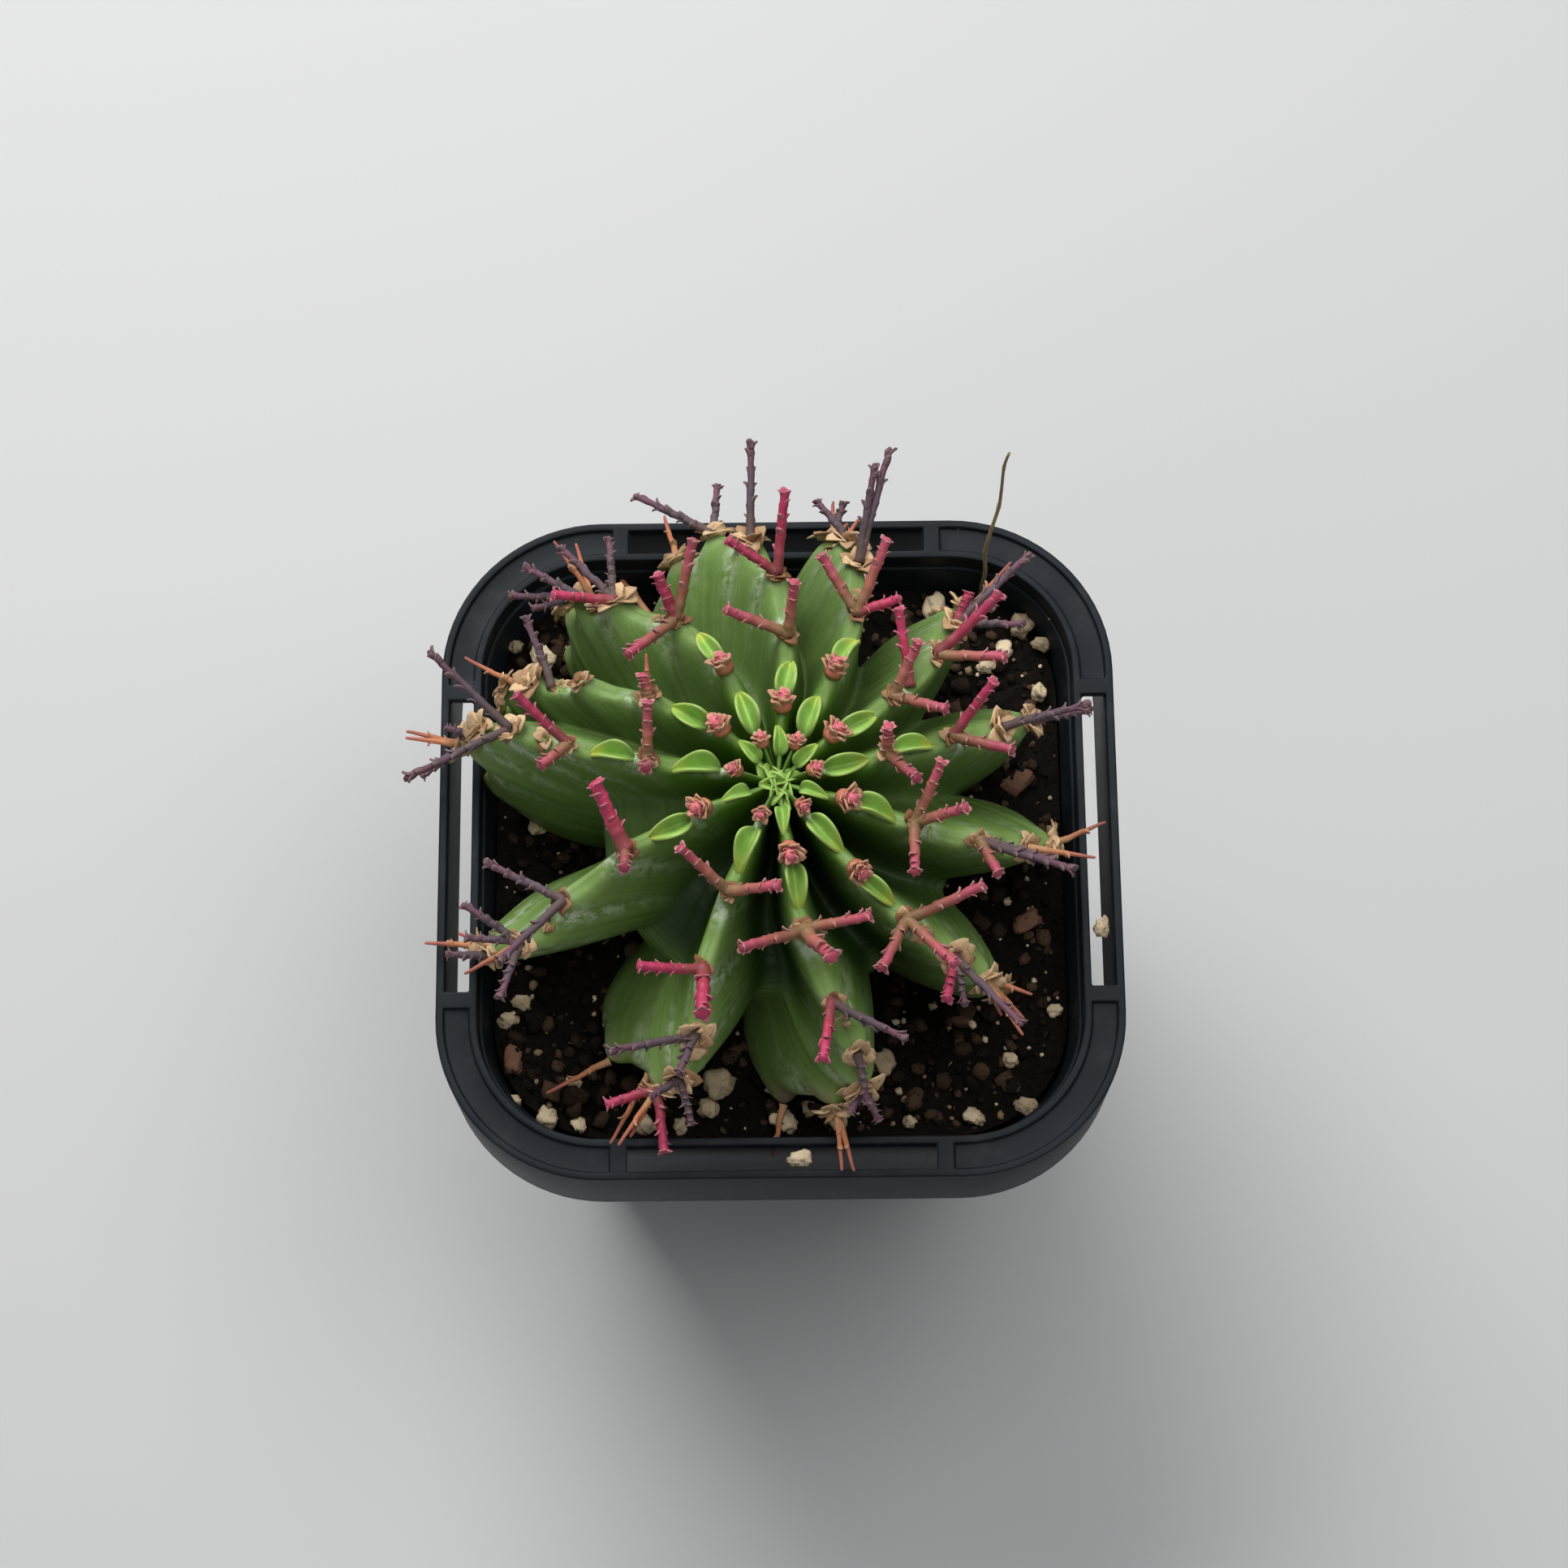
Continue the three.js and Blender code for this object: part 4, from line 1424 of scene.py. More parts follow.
@dataclass
class StalkMaker:
    """Models each age of flower stalk a few times and seats the copies. Millimetres."""

    length: float = 10.0
    copies: int = 3
    bud_scales: int = 15
    outer_scales: int = 7
    small_bud: float = 0.8
    large_bud: float = 1.15
    young_cup: tuple[float, float, int] = (0.75, 0.2, 7)  # size, shade and number of bracts
    first_old: int = 3  # the first cluster with old cups
    lowest_seat: float = 0.97
    seed: int = 7

    def __post_init__(self) -> None:
        """Models the patterns."""
        self.dice = random.Random(self.seed)
        self.scale = scale_pattern(1.2, 1.05, 0.55, 0.17)
        self.cup_scale = scale_pattern(1.9, 2.0, 0.75, 0.2)
        self.variants = {
            age: [self.stalk(shape) for _ in range(self.copies)] for age, shape in STALK_SHAPES.items()
        }
        self.buds = [self.bud() for _ in range(self.copies)]

    def stalk(self, shape: StalkShape) -> Pattern:
        """Models one stalk with its scales.

        Args:
            shape: The age's profile.

        Returns:
            The stalk's pattern, rising along Z from the origin.
        """
        lean = self.dice.uniform(0, math.tau)
        kink = self.dice.uniform(0.35, 0.65)
        stations = [(0.0, 1.28), (0.05, 1.06)]
        for node in shape.nodes:
            here = node + self.dice.uniform(-0.03, 0.03)
            stations += [(here - 0.045, 1.0), (here, 1 + shape.swell), (here + 0.03, 0.97)]
        flare = shape.flare
        stations += [(0.9, 1.0), (0.955, flare), (0.985, flare * 0.9), (1.0, flare * 0.5)]
        rings = []
        for t, swell in stations:
            radius = shape.radius * mix(1, shape.taper, t) * swell
            off = shape.bend * (t * t * 0.6 + 0.35 * step(kink - 0.1, kink + 0.1, t)) * 0.5
            wobble = 0.06 * math.sin(t * 17 + lean)
            rings.append(Ring(
                off * math.cos(lean) + wobble, off * math.sin(lean), t * self.length, radius, radius
            ))
        body = Pattern.of(grow(shape.sides, rings))
        body.mark("along", np.clip(body.points[:, 2] / (self.length * MM), 0, 1)).mark("scale", 0.0)
        parts = Swarm(("along", "scale"))
        parts.add(body, Matrix.Identity(4))
        for ring in (r for (t, s), r in zip(stations, rings) if s > 1.05 and 0.1 < t < 0.9):
            for _ in range(shape.scales):
                self.add_scale(parts, ring, self.dice.uniform(0, math.tau), self.dice.uniform(0.6, 1.0))
        for k in range(shape.crown):
            turn = math.tau * k / shape.crown + self.dice.uniform(-0.3, 0.3)
            self.add_scale(parts, rings[-4], turn, self.dice.uniform(0.6, 1.05))
        return parts.pattern()

    def add_scale(self, parts: Swarm, ring: Ring, turn: float, size: float) -> None:
        """Seats one scale on a stalk's ring.

        Args:
            parts: The stalk being gathered.
            ring: The ring it grows from.
            turn: Its bearing about the stalk.
            size: Its size.
        """
        out = Vector((math.cos(turn), math.sin(turn), 0))
        spot = (Vector((ring.x, ring.y, ring.z)) + out * ring.wide * 0.85) * MM
        place = Matrix.Translation(spot) @ Matrix.Rotation(turn, 4, "Z") @ Matrix.Scale(size, 4)
        parts.add(self.scale, place, along=ring.z / self.length)

    def bud(self) -> Pattern:
        """Models a young rosette: a knob closed in by scales.

        Returns:
            The bud's pattern.
        """
        profile = (
            (0, 0.95), (0.5, 1.1), (1.1, 0.95), (1.5, 0.7), (1.75, 0.72), (2.2, 0.62), (2.45, 0.25)
        )
        rings = [Ring(0, 0, z, radius, radius) for z, radius in profile]
        core = Pattern.of(grow(10, rings))
        core.mark("along", np.clip(core.points[:, 2] / (1.8 * MM), 0, 1)).mark("scale", 0.0)
        parts = Swarm(("along", "scale"))
        parts.add(core, Matrix.Identity(4))
        for k in range(self.bud_scales):
            turn = k * GOLDEN_TURN + self.dice.uniform(-0.3, 0.3)
            ring = Ring(0, 0, 0.1 + 0.13 * k, 1.15 - 0.045 * k, 1)
            size = self.dice.uniform(0.75, 1.15) * (1.35 if k < self.outer_scales else 0.8)
            self.add_scale(parts, ring, turn, size)
        for k, part in enumerate(parts.marks["along"][1:]):
            part[:] = 0.05 if k < self.outer_scales else 0.8
        return parts.pattern()

    def cup(self, swarm: Swarm, seat: Seat, size: float, dry: float, count: int) -> None:
        """Seats a ring of dried bracts on a crest.

        Args:
            swarm: The rib's swarm.
            seat: Where it goes.
            size: Its size.
            dry: Its shade: 0 dark rust, 1 pale tan.
            count: How many bracts.
        """
        dice = self.dice.uniform
        for k in range(count):
            place = (
                Matrix.Translation((seat.point + seat.out * 0.05) * MM) @ seat.turn()
                @ Matrix.Rotation(math.tau * k / count + dice(-0.35, 0.35), 4, "Z")
                @ Matrix.Translation(Vector((dice(0.5, 1.0) * size, 0, -0.35)) * MM)
                @ Matrix.Rotation(dice(-0.45, 0.8), 4, "Y")
                @ Matrix.Rotation(dice(-0.7, 0.7), 4, "Z")
                @ Matrix.Diagonal((size, size * dice(0.8, 1.3), size * dice(0.5, 1.0), 1))
            )
            swarm.add(self.cup_scale, place, BRACT_FINISH, tint=dry + dice(-0.45, 0.25))

    def seat_stalk(self, swarm: Swarm, seat: Seat, stalk: Stalk) -> None:
        """Seats one flower stalk on a crest.

        Args:
            swarm: The rib's swarm.
            seat: Where it goes.
            stalk: The stalk.
        """
        bearing, lift = math.radians(stalk.bearing), math.radians(stalk.lift)
        way = Vector((
            math.cos(bearing) * math.cos(lift), math.sin(bearing) * math.cos(lift), math.sin(lift)
        ))
        turn = way.to_track_quat("Z", "Y").to_matrix().to_4x4()
        long = stalk.length / self.length
        size = Matrix.Diagonal((stalk.thick, stalk.thick, long, 1))
        spin = Matrix.Rotation(self.dice.uniform(0, math.tau), 4, "Z")
        spot = seat.point + seat.out * 0.15
        place = Matrix.Translation(spot * MM) @ turn @ spin @ size
        pattern = self.dice.choice(self.variants[stalk.age])
        swarm.add(pattern, place, stalk.age.value, tint=self.dice.uniform(0.2, 1.0))

    def seat_bud(self, swarm: Swarm, seat: Seat, size: float) -> None:
        """Seats a young rosette on a crest.

        Args:
            swarm: The rib's swarm.
            seat: Where it goes.
            size: Its size.
        """
        way = (seat.out * 0.8 + seat.down * 0.6).normalized()
        turn = way.to_track_quat("Z", "Y").to_matrix().to_4x4()
        place = Matrix.Translation((seat.point - seat.out * 0.3) * MM) @ turn
        place = place @ Matrix.Rotation(self.dice.uniform(0, 6), 4, "Z") @ Matrix.Scale(size, 4)
        swarm.add(self.dice.choice(self.buds), place, Age.BUD.value, tint=self.dice.uniform(0.4, 1))

    def build(self, stem: Stem, finishes: Finishes) -> None:
        """Seats every stalk, bud and cup, one piece for each rib.

        Args:
            stem: The stem they grow on.
            finishes: The materials.
        """
        node = 1
        for rib in sorted(RIBS, key=lambda rib: rib.name):
            name = rib.name
            swarm = Swarm(SPINE_MARKS)
            for cluster in range(stem.clusters):
                if stem.level(rib, cluster) > stem.last_cup:
                    break
                seat = stem.seat(rib, stem.level(rib, cluster))
                if cluster == 0 or (cluster == 1 and name in BUDS_ON_SECOND):
                    small = rib.phase == 0 and cluster == 0
                    self.seat_bud(swarm, seat, self.small_bud if small else self.large_bud)
                elif cluster < self.first_old:
                    self.cup(swarm, seat, *self.young_cup)
                else:
                    self.cup(swarm, seat, self.dice.uniform(0.95, 1.3), 0.65, 9)
                    between = stem.seat(rib, stem.level(rib, cluster - self.dice.uniform(0.4, 0.6)))
                    self.cup(swarm, between, self.dice.uniform(0.5, 0.8), 0.5, 6)
            for stalk in STALKS:
                if stalk.rib == name:
                    seat = stem.seat(rib, min(stem.level(rib, stalk.cluster), self.lowest_seat))
                    self.seat_stalk(swarm, seat, stalk)
            piece = swarm.build(f"flower_stalks_{name}")
            Bench.dress(piece, f"flower_stalks_{name}", "spine", [*finishes.spines, finishes.bract])
            nodes = [f"spine_{n:02d}" for n in range(node, node + SPINE_NODES[name])]
            node += len(nodes)
            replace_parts(piece, *nodes)


# ---- Leaves ----


@dataclass
class Foliage:
    """Small folded leaves on the crests and a star of new ones at the apex. Millimetres."""

    length: float = 6.4
    width: float = 2.3
    lead: float = 0.072
    thickness: float = 0.5
    standoff: float = 0.75
    lift: float = 0.16
    star_leaves: int = 11
    seed: int = 11

    def __post_init__(self) -> None:
        """Starts the dice."""
        self.dice = random.Random(self.seed)

    def blade(self, fold: float, arch: float, twist: float) -> Pattern:
        """Models a leaf that points along X and faces up, its middle at the origin.

        Args:
            fold: How far its halves rise beside the midrib.
            arch: How far its ends bend down.
            twist: How far its tip turns to the side.

        Returns:
            The leaf's pattern for a length of 1 mm.
        """
        Bench.clear()
        bpy.ops.mesh.primitive_grid_add(x_subdivisions=8, y_subdivisions=6, size=2)
        leaf = bpy.context.object
        for vertex in leaf.data.vertices:
            u, v = vertex.co.x, vertex.co.y
            t = (u + 1) / 2
            wide = 0.5 * (math.sin(math.pi * t**0.72) ** 0.75 * 0.9 + 0.14 * (1 - t) ** 2)
            wide = max(wide, 0.012)
            vertex.co = Vector((
                u / 2,
                wide * v * self.width / self.length + twist * t * t * 0.12,
                fold * abs(v) ** 1.3 * wide - arch * (t - 0.35) ** 2 + 0.02 * math.sin(9 * t + 2 * v),
            ))
        Bench.apply(leaf, "SOLIDIFY", thickness=self.thickness / self.length, offset=-1)
        Bench.apply(leaf, "SUBSURF", levels=1, render_levels=1)
        pattern = Pattern.of(leaf, 1.0)
        t = np.clip(pattern.points[:, 0] + 0.5, 0, 1)
        edge = np.abs(pattern.points[:, 1] - twist * t * t * 0.12)
        reach = 0.5 * self.width / self.length * (np.sin(np.pi * t**0.72).clip(0) ** 0.75 * 0.9) + 0.02
        return pattern.mark("along", t).mark("across", np.clip(edge / reach, 0, 1))

    def seat(self, swarm: Swarm, seat: Seat, size: Vector, tint: float) -> None:
        """Seats one leaf on a crest with its tip down the crest.

        Args:
            swarm: The rib's swarm.
            seat: Where it goes.
            size: Length, width and height scale in millimetres.
            tint: How yellow it is.
        """
        place = (
            Matrix.Translation((seat.point + seat.out * self.standoff) * MM) @ seat.turn()
            @ Matrix.Rotation(self.dice.uniform(-0.16, 0.16), 4, "Z")
            @ Matrix.Rotation(-self.lift, 4, "Y")
            @ Matrix.Rotation(self.dice.uniform(-0.25, 0.25), 4, "X")
            @ Matrix.Diagonal((size.x * MM, size.y * MM, size.z * MM, 1))
        )
        swarm.add(self.dice.choice(self.blades), place, tint=tint)

    def build(self, stem: Stem, finishes: Finishes) -> None:
        """Makes every rib's leaves and the apex star.

        Args:
            stem: The stem they grow on.
            finishes: The materials.
        """
        self.blades = [self.blade(f, a, t) for f, a, t in
                       ((0.75, 0.45, 0.7), (0.6, 0.6, -0.8), (0.9, 0.35, 0.15))]
        for rib in RIBS:
            swarm = Swarm(("along", "across", "tint"))
            rows = [(1, Vector((6.4, 6.4, 6.4)), 0.45)]
            if rib.phase == 1:
                rows.append((0, Vector((4.0, 4.6, 4.4)), 0.2))
            elif rib.name != "h":
                rows.append((2, Vector((6.2, 5.8, 6.0)), 0.9))
            for cluster, size, tint in rows:
                lead = self.lead * (0.62 if cluster == 0 else 1)
                seat = stem.seat(rib, max(stem.level(rib, cluster) - lead, 0.03))
                self.seat(swarm, seat, size, tint)
            piece = swarm.build(f"leaves_{rib.name}")
            Bench.dress(piece, f"leaves_{rib.name}", "leaf_skin", [finishes.leaf])
            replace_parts(piece, f"leaf_{rib.name}")
        self.star(stem, finishes)

    def star(self, stem: Stem, finishes: Finishes) -> None:
        """Makes the curled new leaves at the apex."""
        swarm = Swarm(("along", "across", "tint"))
        middle = Vector((0, stem.centre_y, stem.top - 0.9))
        for k in range(self.star_leaves):
            turn = k * GOLDEN_TURN + self.dice.uniform(-0.2, 0.2)
            reach = 0.55 + 0.17 * k
            out = Vector((math.cos(turn), math.sin(turn), 0))
            place = (
                Matrix.Translation((middle + out * reach + Vector((0, 0, 0.75 - 0.05 * k))) * MM)
                @ Matrix.Rotation(turn, 4, "Z")
                @ Matrix.Rotation(-self.dice.uniform(0.35, 1.0), 4, "Y")
                @ Matrix.Rotation(self.dice.uniform(-0.5, 0.5), 4, "X")
                @ Matrix.Diagonal(((1.9 + 0.12 * k) * MM, 4.4 * MM, 3.0 * MM, 1))
            )
            swarm.add(self.dice.choice(self.blades), place, tint=0.12)
        piece = swarm.build("apex_leaves")
        Bench.dress(piece, "apex_leaves", "leaf_skin", [finishes.leaf])


# ---- Soil, grains and litter ----


@dataclass(frozen=True)
class Grain:
    """One large lump on the soil: place and size in millimetres, and its shade."""

    x: float
    y: float
    size: float
    tint: float


GRAINS = (
    Grain(-32.2, 28.4, 4.3, 1.0), Grain(0.4, -36, 4.4, 0.95), Grain(31.1, 29.1, 3.2, 1.0),
    Grain(21.8, 35.2, 4.6, 1.0), Grain(33.6, 32.6, 4.6, 0.35), Grain(36, 29.6, 3.2, 0.3),
    Grain(-36.2, -21.9, 3.4, 0.6), Grain(-34.6, -19.6, 3.2, 0.5), Grain(-31, -35.2, 4, 0.55),
    Grain(-18, -36.2, 3.4, 0.7), Grain(25.4, -35.6, 3.6, 0.55), Grain(-26.6, -36.2, 2.6, 0.7),
    Grain(-8.4, -30.9, 5.2, 0.4), Grain(-9.6, -34.2, 3.8, 0.45), Grain(13.5, -28.4, 4.2, 0.3),
    Grain(32, -34.4, 3.8, 0.35), Grain(-32.6, 4.9, 3.6, 0.6), Grain(9.6, 36.6, 3.6, 0.9),
    Grain(-23.3, 36.2, 2.6, 1.0), Grain(7.4, -36.2, 3, 0.5), Grain(-36.4, 12.6, 2.8, 0.8),
    Grain(35.6, 22.8, 3, 0.6), Grain(30.2, -28.2, 2.6, 0.5), Grain(-27.4, -30.4, 2.8, 0.45),
    Grain(3.6, -34.4, 2.6, 0.6), Grain(-13.4, -36.4, 2.8, 0.5), Grain(16.8, -36.2, 2.4, 0.35),
    Grain(28.6, 26.6, 3.4, 0.8), Grain(-35.6, -33, 3, 0.4), Grain(36.4, -21.4, 2.4, 0.6),
    Grain(-35.8, 30.4, 2.6, 0.5), Grain(29.4, 36, 3, 0.7),
)
SLOT_GRAINS = (Grain(2.2, -42.3, 2.9, 1.0), Grain(42.3, -12, 2.6, 0.55))
CHIPS = (
    Grain(32.4, 10.6, 5.2, 0.5), Grain(33.1, -9.2, 5, 0.7), Grain(-35.4, -27.6, 4.6, 0.6),
    Grain(27.4, 34.4, 4, 0.3), Grain(24, -22.6, 3.6, 0.35), Grain(-34.6, 21.4, 3.8, 0.25),
)


@dataclass
class Ground:
    """The soil with its crumbs, pumice grains, bark chips and fibres. Millimetres."""

    clearance: float = 0.15
    corner: float = 15.7
    cells: int = 110
    lumps: float = 1.35
    crumbs: int = 1500
    pale_crumbs: int = 340
    fibres: int = 34
    crumb_sizes: tuple[float, ...] = (0.7, 0.9, 1.2, 1.6, 2.2, 3.1)
    pale_sizes: tuple[float, ...] = (0.5, 0.7, 0.9, 1.3)
    foot_scale: float = 0.775
    slot_drop: float = 1.4
    seed: int = 5

    def __post_init__(self) -> None:
        """Reads the soil's box from the frame and starts the dice."""
        low, high = (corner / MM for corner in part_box("soil"))
        self.half: float = high.x - self.clearance
        self.level: float = high.z - SOIL_MOUND
        self.low: float = low.z
        self.dice = random.Random(self.seed)

    def height(self, x: float, y: float) -> float:
        """The soil's height at a point.

        Args:
            x: The point's X.
            y: The point's Y.

        Returns:
            Its Z.
        """
        away = max(abs(x), abs(y)) / self.half
        mound = SOIL_MOUND * (1 - step(0.3, 1.0, away))
        here = Vector((x, y, 0))
        bumps = noise.noise(here * 0.16) * 0.7 + noise.noise(here * 0.45) * 0.55
        grit = max(noise.noise(here * 1.05), -0.15) * 0.7 + noise.noise(here * 2.3) * 0.18
        return self.level + mound + (bumps + grit) * self.lumps * (0.35 + 0.65 * step(1.0, 0.93, away))

    def rounded(self, u: float, v: float) -> Vector:
        """Maps a point of the unit square onto the rounded square.

        Args:
            u: First coordinate, -1 to 1.
            v: Second coordinate, -1 to 1.

        Returns:
            The point.
        """
        size = max(abs(u), abs(v), 1e-9)
        du, dv = abs(u) / size, abs(v) / size
        soft = self.corner / self.half
        flat = 1 - soft
        reach = 1.0
        if du > flat and dv > flat:
            a, b = du * du + dv * dv, flat * (du + dv)
            c = 2 * flat * flat - soft * soft
            reach = min((b + math.sqrt(max(b * b - a * c, 0))) / a, 1.0)
        return Vector((u, v, 0)) * reach * self.half

    def surface(self, finishes: Finishes) -> Object:
        """Shapes a flat grid into the soil and closes it down to its base.

        Args:
            finishes: The materials.

        Returns:
            The soil.
        """
        Bench.clear()
        bpy.ops.mesh.primitive_grid_add(x_subdivisions=self.cells, y_subdivisions=self.cells, size=2)
        soil = bpy.context.object
        for vertex in soil.data.vertices:
            spot = self.rounded(vertex.co.x, vertex.co.y)
            vertex.co = Vector((spot.x, spot.y, self.height(spot.x, spot.y))) * MM
        Bench.edit(soil)
        Bench.choose("EDGE", lambda e: e.is_boundary)
        bpy.ops.mesh.extrude_region_move(
            TRANSFORM_OT_translate={"value": (0, 0, (self.low - self.level) * MM)}
        )
        bpy.ops.transform.resize(
            value=(self.foot_scale, self.foot_scale, 0), center_override=(0, 0, self.low * MM)
        )
        bpy.ops.mesh.edge_face_add()
        Bench.outward()
        bpy.ops.object.shade_smooth_by_angle(angle=math.radians(60))
        tint = soil.data.attributes.new("tint", "FLOAT", "POINT")
        tint.data.foreach_set("value", [0.25] * len(soil.data.vertices))
        Bench.dress(soil, "soil_body", "soil_mix", [finishes.soil])
        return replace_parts(soil, "soil")

    def lump(self, rough: float, cuts: int, sphere: float) -> Pattern:
        """Models an angular rounded lump, 1 mm across.

        Args:
            rough: How far its sides wander.
            cuts: How finely its block is divided.
            sphere: How round it is.

        Returns:
            The lump's pattern.
        """
        Bench.clear()
        bpy.ops.mesh.primitive_cube_add(size=1)
        block = bpy.context.object
        bpy.ops.object.mode_set(mode="EDIT")
        bpy.ops.mesh.select_all(action="SELECT")
        bpy.ops.mesh.subdivide(number_cuts=cuts, smoothness=0)
        bpy.ops.transform.tosphere(value=sphere)
        bpy.ops.object.mode_set(mode="OBJECT")
        seat = Vector([self.dice.uniform(-50, 50) for _ in range(3)])
        for vertex in block.data.vertices:
            wide, close = (noise.noise(vertex.co * scale + seat) for scale in (2.1, 5))
            vertex.co *= 1 + (wide * rough + close * rough * 0.4)
        size = max(max(abs(c) for c in v.co) for v in block.data.vertices)
        for vertex in block.data.vertices:
            vertex.co *= 0.5 / size
        return Pattern.of(block)

    def strand(self) -> Pattern:
        """Models a thin bent fibre, 10 mm long and lying along X.

        Returns:
            The fibre's pattern.
        """
        bend = self.dice.uniform(0.8, 2.2)
        rings = []
        for t in (0, 0.12, 0.25, 0.4, 0.55, 0.7, 0.85, 1.0):
            x, y = bend * math.sin(2.6 * t), 0.5 * math.sin(5 * t + bend)
            rings.append(Ring(x, y, 10 * t, 0.09 + 0.05 * (1 - t), 0.1))
        pattern = Pattern.of(grow(6, rings))
        return pattern.moved(Matrix.Rotation(math.pi / 2, 4, "Y"))

    def place(self, x: float, y: float, rise: float, size: Vector) -> Matrix:
        """Where a lump lies.

        Args:
            x: Its X.
            y: Its Y.
            rise: How far its middle lies above the soil, in millimetres.
            size: Its size along each axis in millimetres.

        Returns:
            The matrix.
        """
        turn = Matrix.Rotation(self.dice.uniform(0, math.tau), 4, "Z")
        tip = Matrix.Rotation(self.dice.uniform(-0.5, 0.5), 4, "X")
        spot = Vector((x, y, self.height(x, y) + rise)) * MM
        return Matrix.Translation(spot) @ turn @ tip @ Matrix.Diagonal((*size, 1))

    def open_spot(self, edge: float) -> tuple[float, float]:
        """A random place inside the pot's wall.

        Args:
            edge: How far it keeps from the wall.

        Returns:
            X and Y.
        """
        reach = 1 - edge / self.half
        spot = self.rounded(self.dice.uniform(-1, 1), self.dice.uniform(-1, 1)) * reach
        return spot.x, spot.y

    def build(self, finishes: Finishes) -> None:
        """Makes the soil and everything on it.

        Args:
            finishes: The materials.
        """
        self.surface(finishes)
        rough = [self.lump(0.6, 1, 0.8) for _ in range(6)]
        grains = [self.lump(0.55, 5, 0.95) for _ in range(6)]
        chips = [self.lump(0.6, 3, 0.6) for _ in range(3)]
        litter = Swarm(("tint",))
        for _ in range(self.crumbs):
            size = self.dice.choice(self.crumb_sizes) * self.dice.uniform(0.8, 1.2)
            x, y = self.open_spot(0.6 * size)
            shape = Vector((size, size * self.dice.uniform(0.6, 1), size * self.dice.uniform(0.5, 0.9)))
            litter.add(self.dice.choice(rough), self.place(x, y, size * 0.1, shape),
                       tint=self.dice.random() ** 2.5 * 1.3)
        for _ in range(self.pale_crumbs):
            size = self.dice.choice(self.pale_sizes) * self.dice.uniform(0.8, 1.2)
            x, y = self.open_spot(0.6 * size)
            litter.add(self.dice.choice(rough), self.place(x, y, size * 0.2, Vector((size,) * 3)),
                       1, tint=self.dice.uniform(-0.35, 0.9))
        strands = [self.strand() for _ in range(3)]
        for _ in range(self.fibres):
            x, y = self.open_spot(6)
            place = self.place(x, y, 0.5, Vector((self.dice.uniform(0.3, 0.75), 1, 1)))
            litter.add(self.dice.choice(strands), place, 2, tint=self.dice.random())
        piece = litter.build("soil_crumbs")
        Bench.dress(piece, "soil_crumbs", "soil_mix", [finishes.crumb, finishes.pumice, finishes.straw])

        stones = Swarm(("tint",))
        for grain in GRAINS:
            wide, tall = self.dice.uniform(0.75, 0.95), self.dice.uniform(0.65, 0.85)
            size = Vector((1, wide, tall)) * grain.size
            shape = self.dice.choice(grains)
            place = self.place(grain.x, grain.y, grain.size * 0.22, size)
            stones.add(shape, place, tint=grain.tint)
        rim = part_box("pot")[1].z / MM
        for grain in SLOT_GRAINS:
            spot = Vector((grain.x, grain.y, rim - self.slot_drop)) * MM
            along_x = abs(grain.y) > abs(grain.x)
            size = Vector((1.35, 0.95, 0.9) if along_x else (0.95, 1.35, 0.9)) * grain.size
            place = Matrix.Translation(spot) @ Matrix.Diagonal((*size, 1))
            stones.add(grains[0], place, tint=grain.tint)
        piece = stones.build("pumice_grains")
        Bench.dress(piece, "pumice_grains", "pumice", [finishes.pumice])
        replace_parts(piece, *(f"grain_{n}" for n in range(1, 10)))

        woody = Swarm(("tint",))
        for chip in CHIPS:
            size = Vector((1, self.dice.uniform(0.5, 0.7), self.dice.uniform(0.3, 0.45))) * chip.size
            woody.add(self.dice.choice(chips), self.place(chip.x, chip.y, 0.5, size), tint=chip.tint)
        piece = woody.build("bark_chips")
        Bench.dress(piece, "bark_chips", "bark", [finishes.bark])
        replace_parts(piece, *(f"bark_chip_{n}" for n in range(1, 4)))


@dataclass
class DryStalk:
    """A dead grass stalk standing in the soil. Millimetres above the soil."""

    route: tuple[tuple[float, float, float], ...] = (
        (28, 36.8, -1), (28.1, 37.1, 3.6), (28.3, 37.6, 7.9), (28.1, 38.9, 11.6), (28.7, 40.4, 15.9),
        (29.6, 42.4, 19.8), (29.8, 43.6, 22.9), (29.9, 44.9, 27.6), (30.4, 45.6, 30.6),
    )
    diameter: float = 0.62
    rings: int = 32

    def build(self, finishes: Finishes) -> Object:
        """Grows the stalk along its route.

        Args:
            finishes: The materials.

        Returns:
            The stalk.
        """
        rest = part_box("soil")[1].z / MM
        xs, ys, zs = zip(*self.route)
        rings = []
        for k in range(self.rings + 1):
            t = k / self.rings
            knot = 1 + 0.25 * math.exp(-(((t * 4) % 1 - 0.5) / 0.08) ** 2)
            radius = self.diameter / 2 * mix(1.05, 0.62, t) * knot
            x, y, z = (along_keys(keys, t) for keys in (xs, ys, zs))
            rings.append(Ring(x, y, rest + z, radius, radius))
        swarm = Swarm(("tint",))
        swarm.add(Pattern.of(grow(9, rings)), Matrix.Identity(4), tint=0.5)
        piece = swarm.build("dry_grass_stalk")
        Bench.dress(piece, "dry_grass_stalk", "straw", [finishes.straw])
        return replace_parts(piece, "dry_stalk")


# ---- The studio ----


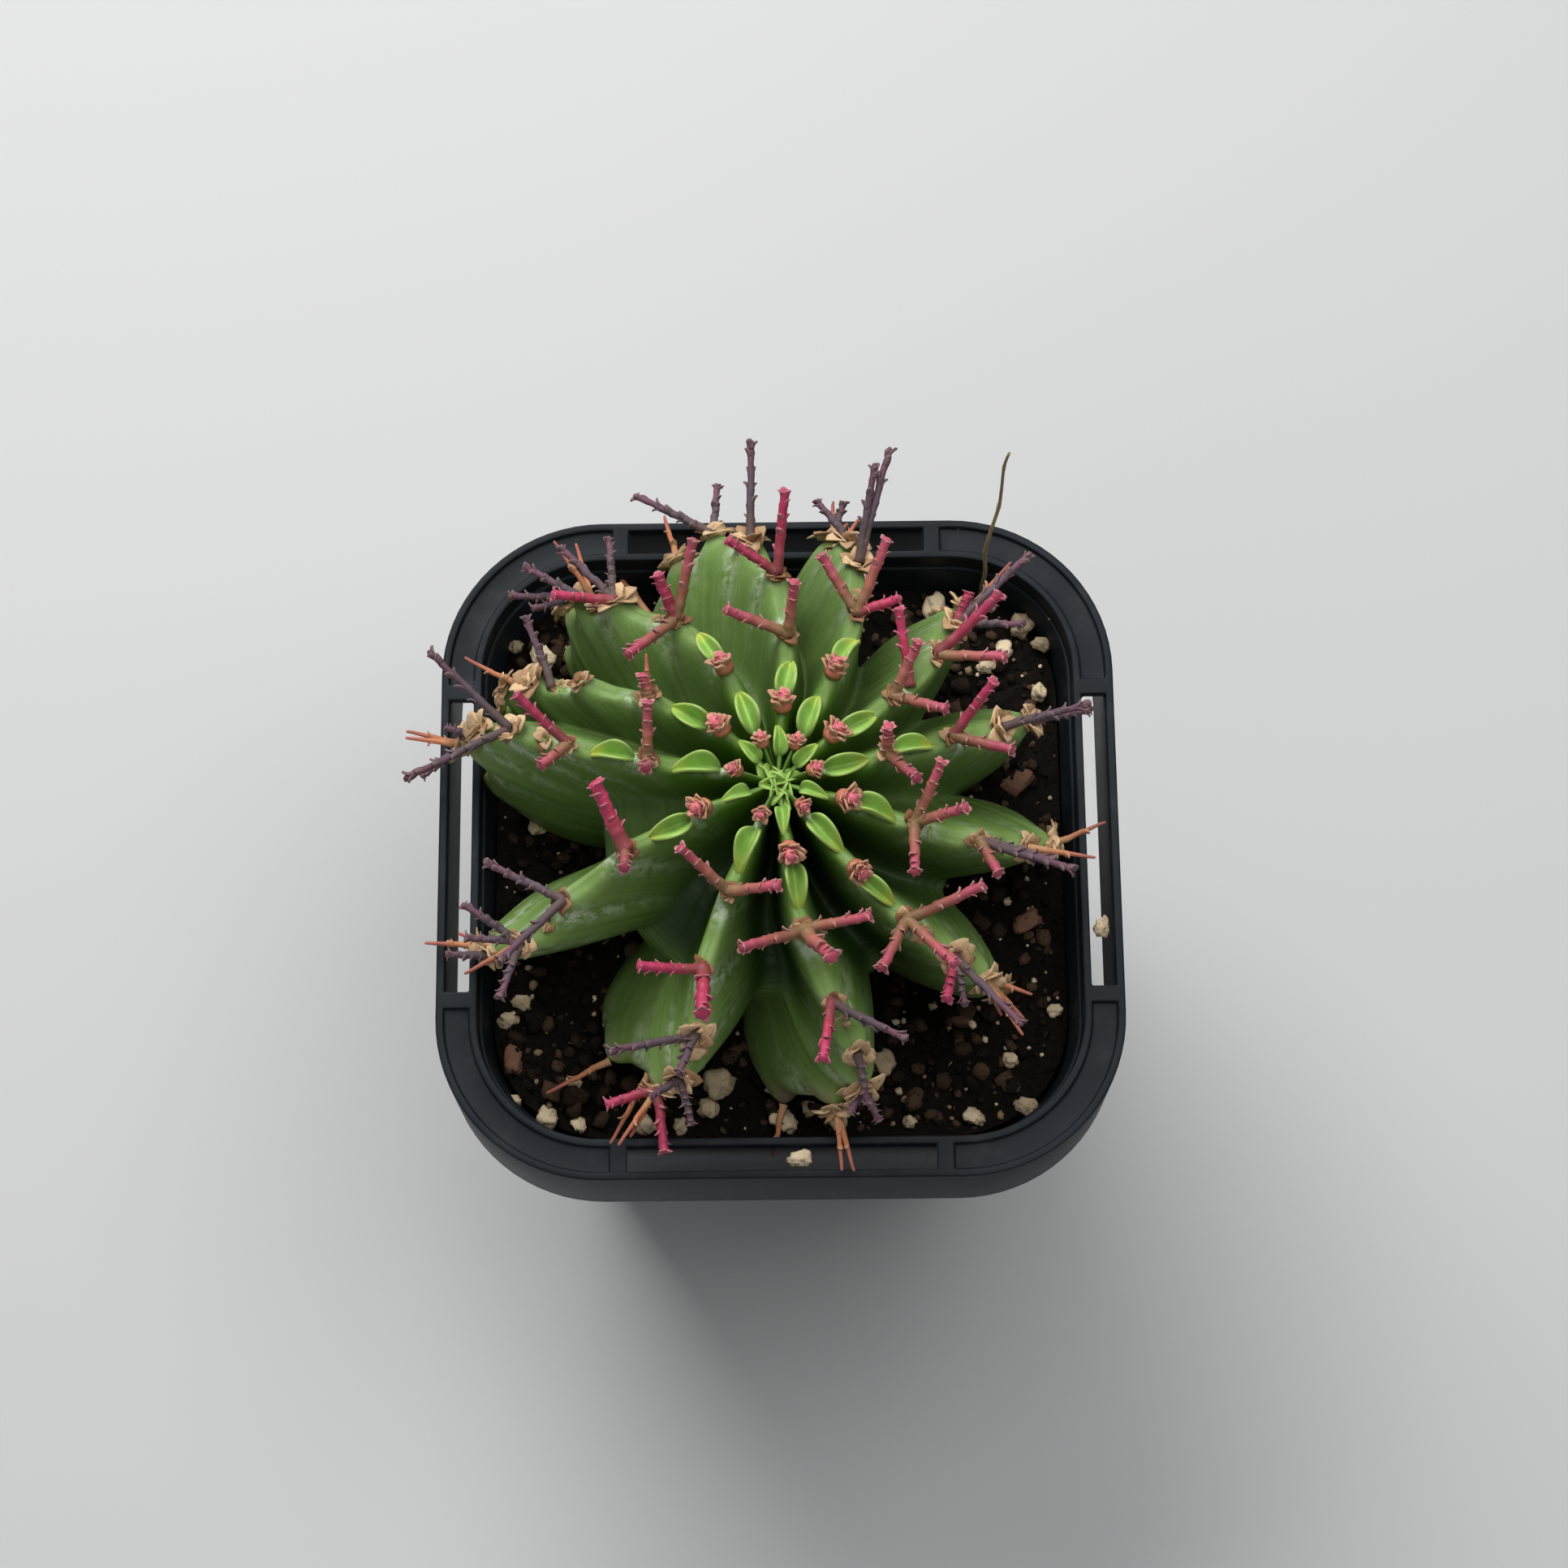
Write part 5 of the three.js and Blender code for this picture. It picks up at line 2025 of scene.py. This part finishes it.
@dataclass
class Studio:
    """Floor, lights, background and camera."""

    eye: Vector = field(default_factory=lambda: Vector((0.00075, -0.1207, 0.5188)))
    tilt: float = 16.5
    roll: float = -0.6
    lens: float = 78.2
    aim_height: float = 0.085
    floor_size: float = 6.0
    sky_strength: float = 0.18

    def floor(self) -> None:
        """Lays the pale plain floor."""
        Bench.clear()
        bpy.ops.mesh.primitive_plane_add(size=self.floor_size, location=(0, 0, 0))
        floor = bpy.context.object
        floor.name = "studio_floor"
        material = bpy.data.materials.new("studio_floor")
        material.use_nodes = True
        skin = material.node_tree.nodes["Principled BSDF"]
        skin.inputs["Base Color"].default_value = (0.62, 0.62, 0.62, 1)
        skin.inputs["Roughness"].default_value = 0.9
        floor.data.materials.append(material)

    def lamp(self, name: str, place: tuple[float, float, float], size: float, power: float) -> None:
        """Hangs a soft lamp that points at the plant.

        Args:
            name: Its name.
            place: Where it hangs.
            size: Its side.
            power: Its power in watts.
        """
        Bench.clear()
        bpy.ops.object.light_add(type="AREA", location=place)
        lamp = bpy.context.object
        lamp.name = name
        lamp.data.shape = "SQUARE"
        lamp.data.size, lamp.data.energy = size, power
        aim = Vector((0, 0, self.aim_height)) - Vector(place)
        lamp.rotation_euler = aim.to_track_quat("-Z", "Y").to_euler()

    def build(self) -> None:
        """Sets the whole studio."""
        self.floor()
        self.lamp("key_light", (-0.22, 0.52, 0.64), 0.5, 6.2)
        self.lamp("top_light", (0.22, 0.1, 0.85), 0.5, 2.6)
        self.lamp("front_light", (-0.5, -0.6, 0.5), 0.8, 0.8)
        world = bpy.data.worlds.new("studio_world")
        world.use_nodes = True
        sky = world.node_tree.nodes["Background"]
        sky.inputs["Color"].default_value = (0.8, 0.82, 0.85, 1)
        sky.inputs["Strength"].default_value = self.sky_strength
        scene = bpy.context.scene
        scene.world = world
        scene.view_settings.view_transform = "Standard"
        Bench.clear()
        bpy.ops.object.camera_add(location=self.eye)
        camera = bpy.context.object
        camera.name = "studio_camera"
        tilt = Matrix.Rotation(math.radians(self.tilt), 3, "X")
        roll = Matrix.Rotation(math.radians(self.roll), 3, "Z")
        camera.rotation_euler = (tilt @ roll).to_euler()
        camera.data.lens, camera.data.sensor_width = self.lens, 36
        camera.data.clip_start = 0.01
        scene.camera = camera


def main() -> None:
    """Builds every piece in order."""
    logging.basicConfig(level=logging.INFO, format="%(name)s: %(message)s")
    finishes = Finishes()
    Pot().build(finishes)
    Ground().build(finishes)
    stem = Stem()
    stem.build(finishes)
    StalkMaker().build(stem, finishes)
    Foliage().build(stem, finishes)
    DryStalk().build(finishes)
    Studio().build()


if __name__ == "__main__":
    main()
